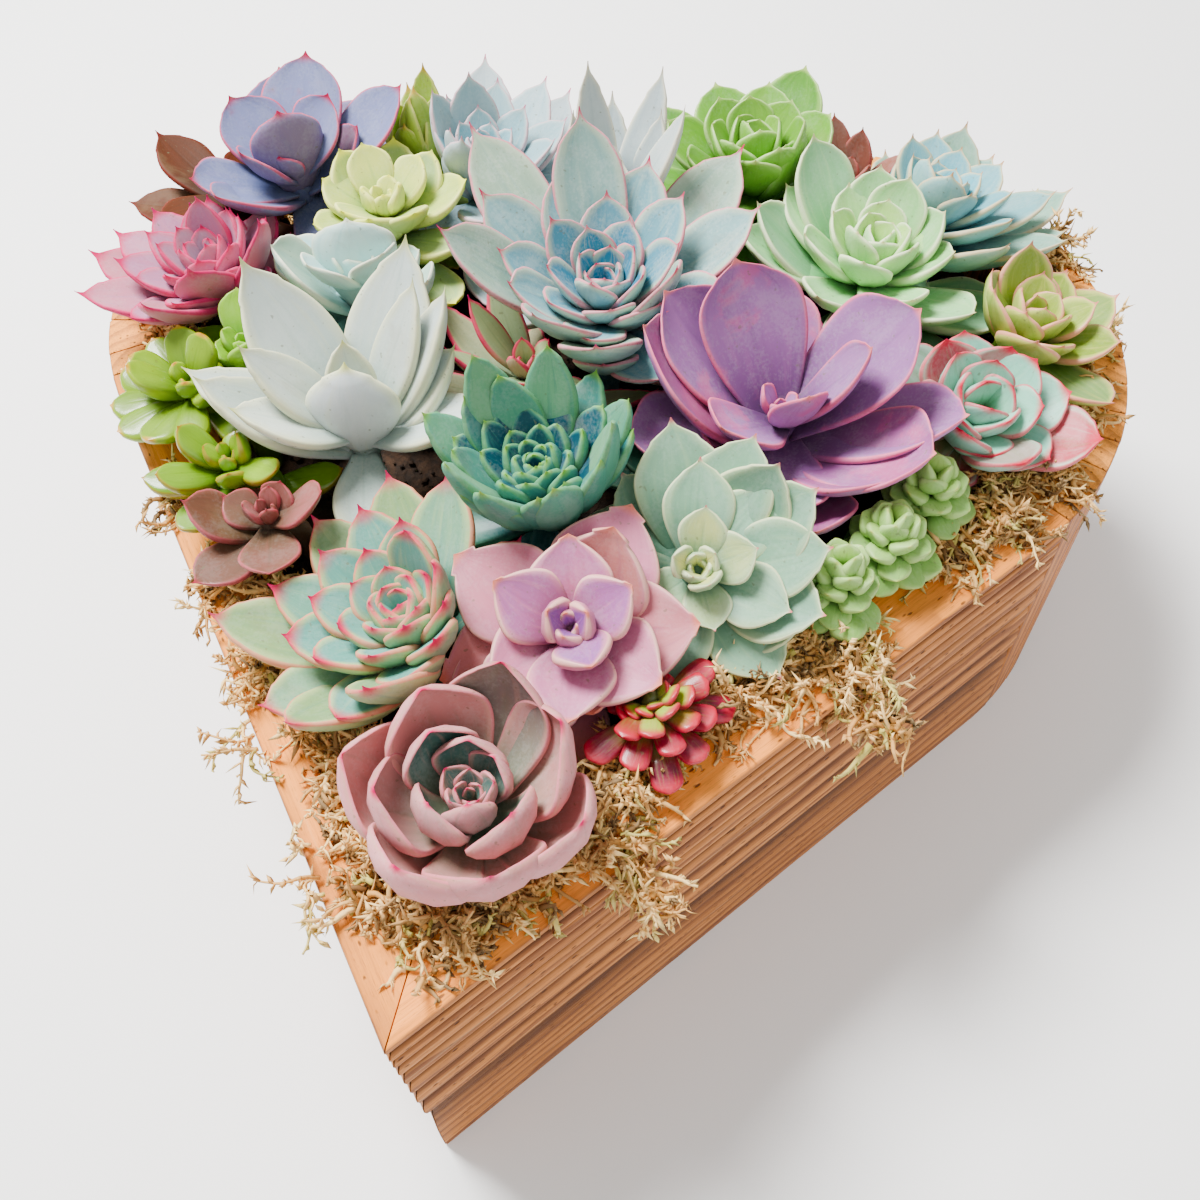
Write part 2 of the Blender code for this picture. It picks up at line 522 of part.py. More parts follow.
def leaf_shape(plant, leaf):
    """Rings of four points, edge, face, edge and keel, along a curling leaf, with its tip and its root."""
    axis, across, ahead = axes_of(plant)
    turn = radians(leaf.azimuth)
    out = across * sin(turn) + ahead * cos(turn)
    side = np.cross(out, axis)
    drop = plant.drop[0] + (plant.drop[1] - plant.drop[0]) * leaf.age
    reach = ROOT_REACH[0] + (ROOT_REACH[1] - ROOT_REACH[0]) * leaf.age
    root = head_of(plant) - axis * drop + out * reach
    width = leaf.width or (plant.wide[0] + (plant.wide[1] - plant.wide[0]) * leaf.age) * BROADER
    thick = plant.thick[0] + (plant.thick[1] - plant.thick[0]) * leaf.age
    rise, curl = radians(leaf.rise), radians(leaf.curl)

    def middle(along):
        """A point on the leaf's own curve, which turns evenly from root to tip."""
        if abs(curl) < 1e-6:
            return root + (out * cos(rise) + axis * sin(rise)) * leaf.length * along
        start, end = rise - curl / 2, rise + curl * (along - 0.5)
        over = (sin(end) - sin(start)) / curl
        up = (cos(start) - cos(end)) / curl
        return root + (out * over + axis * up) * leaf.length

    rings = []
    for along in LEAF_STATIONS:
        slope = rise + curl * (along - 0.5)
        normal = axis * cos(slope) - out * sin(slope)
        half = width / 2 * width_share(along, plant.peak, plant.base, plant.point)
        depth = thick / 2 * (0.6 + 0.4 * sin(pi * min(1, along * 1.15))) * (1 - 0.6 * along ** 4)
        lift = plant.cup * half
        centre = middle(along)
        rings.append([centre + side * half + normal * lift, centre + normal * depth,
                      centre - side * half + normal * lift, centre - normal * depth])
    return [np.array(ring) for ring in rings], middle(1.0), root


def ball_of(plant):
    """A ball about the rosette's spread leaves, used to share out the space between neighbours."""
    tips = np.array([leaf_shape(plant, leaf)[1] for leaf in plant.leaves])
    outer = tips[: max(3, len(tips) * 2 // 3)]
    centre = (head_of(plant) + outer.mean(axis=0)) / 2
    reach = np.linalg.norm(outer - centre, axis=1).mean()
    return centre, reach


def borders(plant, balls):
    """Planes that part this plant's space from each neighbour's, as normals and offsets."""
    centre, reach = balls[plant.name]
    planes = []
    for neighbour in PLANTS:
        other, other_reach = balls[neighbour.name]
        apart = np.linalg.norm(other - centre)
        if neighbour is plant or apart > FAR_APART:
            continue
        share = (apart ** 2 + reach ** 2 - other_reach ** 2) / (2 * apart)
        normal = (other - centre) / apart
        nearest = normal @ head_of(plant) + plant.core + 1
        furthest = normal @ head_of(neighbour) - neighbour.core - 1
        border = normal @ centre + share
        if nearest < furthest:
            border = min(max(border, nearest), furthest)
        else:
            border = (nearest + furthest) / 2
        planes.append((normal, border - CLEAR / 2))
    return planes


def fits(points, planes):
    """Whether points keep to their plant's side of every border, and above the ground."""
    if any((points @ normal).max() > offset for normal, offset in planes):
        return False
    return all(z >= ground(x, y) for x, y, z in points)


def bend_clear(plant, leaf, planes):
    """Raise and shorten a leaf until it keeps to its plant's own space."""
    while True:
        shape = leaf_shape(plant, leaf)
        rings, tip, root = shape
        if fits(np.vstack(rings + [tip, root, (root + rings[0]) / 2]), planes) or leaf.length < SHORTEST:
            return shape
        leaf.rise = min(LIFT_MOST, leaf.rise + LIFT_STEP)
        leaf.length *= TRIM_STEP


def ring_about(centre, facing, radius):
    """Points round a centre, in the plane square to facing."""
    across = unit(np.cross([0.0, 1.0, 0.0], facing))
    ahead = np.cross(facing, across)
    turns = [2 * pi * i / STEM_SIDES for i in range(STEM_SIDES)]
    return np.array([centre + (across * sin(t) + ahead * cos(t)) * radius for t in turns])


def foot_of(plant):
    return np.array([*(plant.foot or plant.head[:2]), SOIL_TOP])


def stem_rings(plant):
    """Stem from the bottom of its hole over the wall's edge to the crown, and the unopened bud above it."""
    axis = axes_of(plant)[0]
    head, foot = head_of(plant), foot_of(plant)
    crown = head - axis * plant.drop[0]
    elbow = foot + (crown - foot) * ELBOW_ALONG
    elbow[2] = max(elbow[2], min(RIM + ELBOW_RISE, crown[2]))
    facing = unit(unit(elbow - foot) + unit(crown - elbow)) if plant.foot else UP
    arrive = unit(unit(crown - elbow) + axis) if plant.foot else axis
    rings = [ring_about(foot - UP * (HOLE_DEPTH - GAP), UP, STEM_RADIUS),
             ring_about(foot + UP * 0.5, UP, STEM_RADIUS),
             ring_about(elbow, facing, STEM_RADIUS),
             ring_about(crown, arrive, plant.core * CROWN_FOOT),
             ring_about((crown + head) / 2, axis, plant.core),
             ring_about(head + axis * plant.bud * BUD_WAIST_UP, axis, plant.core * BUD_WAIST)]
    return rings, head + axis * plant.bud


def grow(plant, planes, collection, cutters):
    """One plant as a single solid: stem, crown, bud and every leaf joined."""
    rings, tip = stem_rings(plant)
    stem = add_object(plant.name, loft(plant.name, rings, tip), collection, plant.finish)
    for number, leaf in enumerate(plant.leaves):
        shape = bend_clear(plant, leaf, planes)
        name = f"{plant.name}_leaf_{number}"
        add_object(name, loft(name, *shape), cutters, plant.finish)
    join_all(stem, cutters)


def join_all(base, collection):
    """Union of base with everything in the collection, applied, and the collection emptied."""
    union = base.modifiers.new("join", "BOOLEAN")
    union.operation = "UNION"
    union.operand_type = "COLLECTION"
    union.collection = collection
    union.solver = "EXACT"
    apply_modifiers(base)
    keep_largest_shell(base.data)
    for thing in list(collection.objects):
        bpy.data.objects.remove(thing, do_unlink=True)


def keep_largest_shell(mesh):
    """Drop what a union leaves inside a solid or loose beside it."""
    body = bmesh.new()
    body.from_mesh(mesh)
    body.verts.ensure_lookup_table()
    left = set(body.verts)
    shells = []
    while left:
        shell, edge = set(), {left.pop()}
        while edge:
            shell |= edge
            edge = {e.other_vert(v) for v in edge for e in v.link_edges} - shell
        left -= shell
        shells.append(shell)
    largest = max(shells, key=len)
    bmesh.ops.delete(body, geom=[v for v in body.verts if v not in largest], context="VERTS")
    body.to_mesh(mesh)
    body.free()


def apply_modifiers(thing):
    bpy.context.view_layer.update()
    graph = bpy.context.evaluated_depsgraph_get()
    mesh = bpy.data.meshes.new_from_object(thing.evaluated_get(graph))
    thing.modifiers.clear()
    thing.data = mesh


def plant_soil(collection, cutters):
    """The soil filling, with a plain hole for each stem."""
    outline = heart_outline(WALL + GAP)
    soil = slab("soil", outline, BASE_THICK + GAP, SOIL_TOP, collection, "soil")
    for plant in PLANTS:
        radius = STEM_RADIUS + GAP / cos(pi / STEM_SIDES)
        rings = [ring_about(foot_of(plant) + UP * height, UP, radius) for height in (-HOLE_DEPTH, 4.0)]
        add_object(plant.name + "_hole", loft("hole", rings), cutters)
    cut = soil.modifiers.new("holes", "BOOLEAN")
    cut.operation = "DIFFERENCE"
    cut.operand_type = "COLLECTION"
    cut.collection = cutters
    cut.solver = "EXACT"
    apply_modifiers(soil)
    for thing in list(cutters.objects):
        bpy.data.objects.remove(thing, do_unlink=True)


def main():
    clear_scene()
    pieces = new_collection("succulent_heart_arrangement")
    cutters = new_collection("cutters")
    for side, word in ((1, "right"), (-1, "left")):
        board(f"board_{word}", side, pieces)
        for number in range(STAVE_BLOCKS):
            stave_block(f"stave_{word}_{number + 1}", side, number, pieces)
    slab("base_panel", heart_outline(WALL + GAP), 0, BASE_THICK, pieces, "wood_base")
    plant_soil(pieces, cutters)
    for name, bed in MOSS_BEDS.items():
        moss_bed(name, *bed, pieces)
    balls = {plant.name: ball_of(plant) for plant in PLANTS}
    for plant in PLANTS:
        grow(plant, borders(plant, balls), pieces, cutters)


main()
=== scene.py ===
"""Looks of the succulent heart arrangement: leaves, moss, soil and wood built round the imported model.

Sizes are in millimetres, in the frame's axes: +Z up, and +Y from the heart's tip to its notch.
"""

from dataclasses import dataclass, field
from math import acos, ceil, cos, hypot, pi, radians, sin

import bmesh
import bpy
import numpy as np
from mathutils import Matrix, Vector


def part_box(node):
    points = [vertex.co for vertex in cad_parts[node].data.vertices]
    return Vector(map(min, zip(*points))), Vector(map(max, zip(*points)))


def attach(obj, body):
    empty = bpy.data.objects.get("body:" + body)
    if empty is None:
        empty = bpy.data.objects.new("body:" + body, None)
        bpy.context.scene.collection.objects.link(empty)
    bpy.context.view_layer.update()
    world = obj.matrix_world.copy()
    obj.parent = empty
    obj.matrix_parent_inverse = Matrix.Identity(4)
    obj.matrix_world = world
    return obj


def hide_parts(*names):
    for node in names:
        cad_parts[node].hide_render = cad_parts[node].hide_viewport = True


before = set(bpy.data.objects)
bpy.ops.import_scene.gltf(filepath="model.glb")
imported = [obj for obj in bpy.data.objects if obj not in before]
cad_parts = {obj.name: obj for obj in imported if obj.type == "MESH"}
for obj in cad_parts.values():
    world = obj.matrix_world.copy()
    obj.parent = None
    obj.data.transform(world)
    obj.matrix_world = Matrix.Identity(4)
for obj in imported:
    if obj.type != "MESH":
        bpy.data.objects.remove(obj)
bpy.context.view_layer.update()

MM = 0.001
GAP = 0.3

# Heart-shaped box
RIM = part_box("board_right")[1].z / MM
SOIL_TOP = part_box("soil")[1].z / MM
WALL = 19.0
TIP_HALF_ANGLE = radians(39.24)
LOBE_RADIUS = 77.55
LOBE_X = 54.08
LOBE_Y = 55.6
BOARD_END = radians(-33.6)
STAVE_BLOCKS = 8
STAVES_A_BLOCK = 3
FLUTES = (0.05, 0.10, 0.16, 0.23, 0.32, 0.41, 0.52, 0.645)   # grooves, as shares of the wall from its top
FLUTE_DEPTH = 1.6
FLUTE_POINTS = 9                # points across each ridge
FLUTE_BLUNT = 0.6               # smaller makes flatter ridges and sharper grooves
FLUTE_SWAYS = ((0.10, 0.05, 0.35), (0.06, 0.13, 0.9))   # size, and radians per mm along and up
CORNER = 0.7                    # rounding of the wood's corners
BOARD_STEPS = 34
BOARD_TOP = (3.0, 6.0, 9.0, 12.0, 15.0)                 # insets of the lines along the flat top
BOARD_WAIST = 40.0              # height of the line along the inner face
JOINT = 0.14                    # glue line between narrow staves
STAVE_BEVEL = 0.35
STAVE_LEVELS = (30.0, 60.0)     # heights of the lines round a narrow stave
STAVE_SLANT = 1.6               # degrees by which a glue line may lean off its own radius
STAVE_SUNK = 0.25               # how far a narrow stave may lie below its neighbours
HOLE_DEPTH = 24.0

# Wood: early and late rings, grooves (darker partly from weathering and partly as painted shade in the
# hollows), top (paler partly as painted light from above), millimetres a ring, and where its pattern starts
WOODS = {
    # The left board's ring and groove colours are lighter than the right's: painted light from the upper
    # left, on two copies of one wood.
    "board_wood_left": ("#cc803a", "#885028", "#54301a", "#fc982c", 4.2, 3.0),
    "board_wood_right": ("#c07838", "#754222", "#462612", "#fa9630", 4.6, 11.0),
    "stave_wood": ("#bc7438", "#784424", "#4c2a16", "#ee9838", 3.4, 23.0),
    "base_wood": ("#b98d60", "#94683f", "#684028", "#b98d60", 6.0, 31.0),
}
WOOD_STREAK = "#e9c08a"
WOOD_PORE = "#4a2c18"
TRUNK_ACROSS = 30.0             # from the piece to the middle of the trunk it was sawn from
TRUNK_DEEP = 46.0

# Moss along the inner edge of the rim
MOSS_OUT = 7.0
MOSS_IN = 3.0
MOSS_BEDS = {                   # side, and its two ends, in millimetres round the inner edge from the tip
    "moss_tip_right": (1, 6, 44),
    "moss_side_right": (1, 64, 102),
    "moss_bend_right": (1, 138, 172),
    "moss_lobe_right": (1, 190, 226),
    "moss_tip_left": (-1, 6, 40),
    "moss_side_left": (-1, 60, 92),
    "moss_bend_left": (-1, 150, 180),
    "moss_lobe_left": (-1, 214, 246),
}
MOSS_TUFTS = [                  # x, y, reach and how many strands
    (3, -107, 12, 130), (-9, -104, 9, 60), (15, -95, 10, 110), (24, -84, 9, 80), (34, -72, 8, 60),
    (36, -86, 6, 40), (42, -92, 5, 28), (28, -70, 7, 50), (50, -49, 8, 70), (61, -39, 8, 90),
    (71, -31, 8, 80), (77, -40, 6, 50), (82, -47, 5, 30), (93, -2, 8, 65), (103, 9, 8, 65),
    (113, 23, 7, 50), (120, 48, 6, 40), (122, 72, 6, 35), (112, 101, 7, 45), (-84, -20, 7, 45),
    (-66, -42, 7, 50), (-48, -62, 8, 70), (-33, -70, 7, 50), (-19, -92, 6, 40), (-24, -80, 6, 40),
    (-51, -52, 7, 45), (-112, 76, 6, 30),
]
MOSS_THICKLY = 2.6              # strands on each millimetre of a bed
MOSS_BED_ENDS = 3.0             # how far a bed thins out past its ends
MOSS_PILE = 5.0                 # height of a tuft's middle
MOSS_REST = 0.4                 # height of a strand's line over what it lies on
MOSS_COLOURS = ("#52300e", "#cc9044", "#ffd68a", "#a8a440")
MOSS_ENDS = "#f2dca6"
STRAND_SIDES = 4
BLADE_FACES = [(2, 1, 0), (0, 1, 4, 3), (1, 2, 5, 4), (2, 0, 3, 5), (3, 4, 6), (4, 5, 6), (5, 3, 6)]
BLADE_CORNERS = [(1.0, 0.0), (-0.5, 0.35), (-0.5, -0.35)]
LOOSE_EACH = 2                  # loose strands from each place
LOOSE_STRANDS = [               # x, y, degrees clockwise from +Y and length
    (-46, -77, 215, 16), (-48, -74, 240, 14), (-44, -80, 225, 12), (-22, -104, 255, 14),
    (-20, -107, 235, 13), (-26, -98, 250, 12), (70, -32, 140, 22), (74, -32, 125, 18),
    (78, -30, 120, 14), (60, -50, 150, 14), (34, -88, 100, 14), (28, -90, 110, 12), (120, 68, 85, 14),
    (121, 72, 60, 12), (112, 105, 40, 14), (108, 108, 30, 12), (-122, 76, 275, 12), (-122, 70, 260, 12),
    (-84, -17, 250, 12),
]

# Soil
SOIL_POINTS = 70                # along one half of its outline
SOIL_RINGS = 34
SOIL_MIDDLE = np.array([0.0, 36.0])
CRUMBS = 1500
CRUMB_SIZES = (0.5, 1.7)
LUMP_POINTS = np.array([(1, 0, 0), (0, 1, 0), (-1, 0, 0), (0, -1, 0), (0, 0, 1), (0, 0, -1)], float)
LUMP_FACES = [(0, 1, 4), (1, 2, 4), (2, 3, 4), (3, 0, 4), (1, 0, 5), (2, 1, 5), (3, 2, 5), (0, 3, 5)]

# Plants
GOLDEN_ANGLE = 137.508
SHORTENING = 0.82               # below 1, leaves shorten soon after the outermost
RISING = 1.3                    # above 1, only the innermost leaves stand upright
ROOT_REACH = (3.0, 1.0)         # from the axis to a leaf's root, outermost and innermost
STEM_RADIUS = 3.2
STEM_TAPER = 0.9
STEM_SIDES = 14
CROWN_SHARES = (0.6, 0.7, 0.3)  # of the crown's radius, at its foot, middle and top
ELBOW_RISE = 5.0                # of the stem's bend over the rim
ELBOW_ALONG = 0.2               # share of the way from the stem's foot to its crown
UP = np.array([0.0, 0.0, 1.0])
FINENESS = ((11.0, 12, 12), (25.0, 19, 16), (99.0, 26, 20))   # up to a length: rings along and points round
LARGE_LEAF = 30.0               # the blush on the tip is narrower on leaves shorter than this
LINE_STEPS = 60                 # steps in which a leaf's own curve is worked out
ROUNDNESS = 0.78                # of a leaf's section: 1 is an ellipse, less is fuller
THINNEST = 0.16
TOP_FULLNESS = 0.62             # of the upper side's thickness, against the underside's
HEART_RISE = (58, 28)           # degrees of the first unopened leaf, and what the last has more
HEART_SHORTER = 0.55            # share by which the last unopened leaf is shorter
SKIRT_RISE = (14, 12)           # degrees of the uppermost skirt leaf, and what the lowest has less
SKIRT_SIZE = 0.96
SKIRT_DROP = 6.0
TRIAL_RINGS = 20                # of a leaf while it looks for its place
TRIAL_SIDES = 12
LEAF_SATURATION = 1.16
LEAF_VALUE = 0.87
FILM = "#e6ebe6"
SPECK = "#6b6a50"

# Room over the soil, in small cubes that one plant each may fill
CUBE = 2.0
ROOM_LOW = np.array([-142.0, -142.0, 72.0])
ROOM_HIGH = np.array([142.0, 142.0, 156.0])
BOX_TAKES = -1
OVER_GROUND = 1.0               # kept free over soil and rim
OVERHANG = 12.0                 # how far below the rim a leaf may hang outside the box
TRIMS = (1.0, 0.94, 0.88, 0.82, 0.76, 0.7, 0.63, 0.56, 0.5)   # shares of its length that a leaf tries
TILTS = (0, 6, -6, 12, -12, 18, 24, 32)                       # degrees by which it tries to rise

# Camera, lamps and floor: places in metres, turns in degrees, lens and sensor in millimetres
CAMERA_PLACE = (0.05800, -0.18033, 0.33069)
CAMERA_TURN = (-14.953, 57.088, 3.088)
LENS = 38.79
SENSOR = 36.0
LAMPS = {                       # place, size and watts
    "key": ((-0.45, 0.25, 1.0), 0.4, 43.0),
    "fill": ((0.7, -0.7, 0.9), 1.2, 6.0),
}
LIT_PLACE = (0, 0, 0.08)
STUDIO_LIGHT = 0.7
FLOOR_CORNERS = [(-4, -4, 0), (4, -4, 0), (4, 4, 0), (-4, 4, 0)]

random = np.random.default_rng(14)


@dataclass
class Leaf:
    azimuth: float              # degrees clockwise from +Y
    rise: float                 # degrees above the plane square to the rosette's axis
    length: float
    age: float                  # 0 outermost, 1 innermost
    width: float = 0.0
    curl: float = 30.0
    youth: float = 0.0          # as age, for colour
    lower: float = 0.0          # how far below its place by age a leaf starts
    sway: float = 0.0           # sideways bend, as a share of the length
    twist: float = 0.0          # radians from root to tip
    tone: float = 1.0


@dataclass
class Look:
    """Colours of a plant's leaves, as sRGB hex."""
    body: str
    heart: str                  # youngest leaves
    old: str                    # outermost leaves
    # root: colour at each leaf's base, darker partly from the leaf's own colour and partly as painted shade
    # deep in the rosette
    root: str
    back: str                   # underside
    halo: str                   # soft band inside the edge
    edge: str                   # fine line along the edge
    tip: str
    halo_mm: float = 1.6
    edge_mm: float = 0.45
    tip_mm: float = 2.0
    bloom: float = 0.3          # powdery film
    gloss: float = 0.0          # 0 powdery, 1 wet-looking
    blotch: str = "#8a7a5c"
    blotches: float = 0.15
    young: tuple = (0.4, 0.85)  # ages between which the heart's colour comes in


@dataclass
class Plant:
    name: str
    slot: str
    head: tuple                 # heart of the rosette: x, y and height above the rim
    leaves: list
    look: Look
    wide: tuple = (16, 6)       # leaf width, outermost and innermost
    thick: tuple = (4.4, 3.0)
    lean: tuple = (0, 0)        # degrees of lean, and the azimuth it leans towards
    foot: tuple = None          # where the stem enters the soil
    peak: float = 0.62          # where along its length a leaf is widest
    base: float = 0.42          # root width as a share of the widest
    point: float = 2.2          # larger is blunter
    roll: float = 24.0          # degrees by which each edge turns up
    core: float = 5.5           # radius of the crown that carries the leaves
    drop: tuple = (12, 2)       # how far below the growing point leaves start, outermost and innermost
    heart: tuple = (6, 11)      # small unopened leaves in the middle: how many, and the length of the first
    skirt: int = 8              # old leaves low on the stem
    acute: float = 0.12         # share of the leaf's length that its drawn-out point takes
    hook: float = 14.0          # degrees by which the point turns up
    keel: float = 0.25          # ridge along the underside
    sink: float = 5.0           # how far unopened leaves stand above the growing point
    early: float = 0.0          # how much sooner its leaves claim their room


def spiral(count, hand, phase, length, rise, curl):
    """Leaves in a golden-angle spiral, outermost first, which together make an open bowl."""
    leaves = []
    for i in range(count):
        age = i / (count - 1)
        size = length[0] + (length[1] - length[0]) * age ** SHORTENING
        lift = rise[0] + (rise[1] - rise[0]) * age ** RISING
        turn = phase + hand * GOLDEN_ANGLE * i
        leaves.append(Leaf(turn, lift, size, age, 0.0, curl * (1 - 0.6 * age), age))
    return leaves


def placed(*rows, curl=24.0, oldest=0.0, youngest=0.72):
    """Leaves placed one by one, outermost first, each as azimuth, rise, length and width."""
    last = max(1, len(rows) - 1)
    ages = [i / last for i in range(len(rows))]
    span = youngest - oldest
    return [Leaf(*row[:3], age, row[3], curl, oldest + span * age) for row, age in zip(rows, ages)]


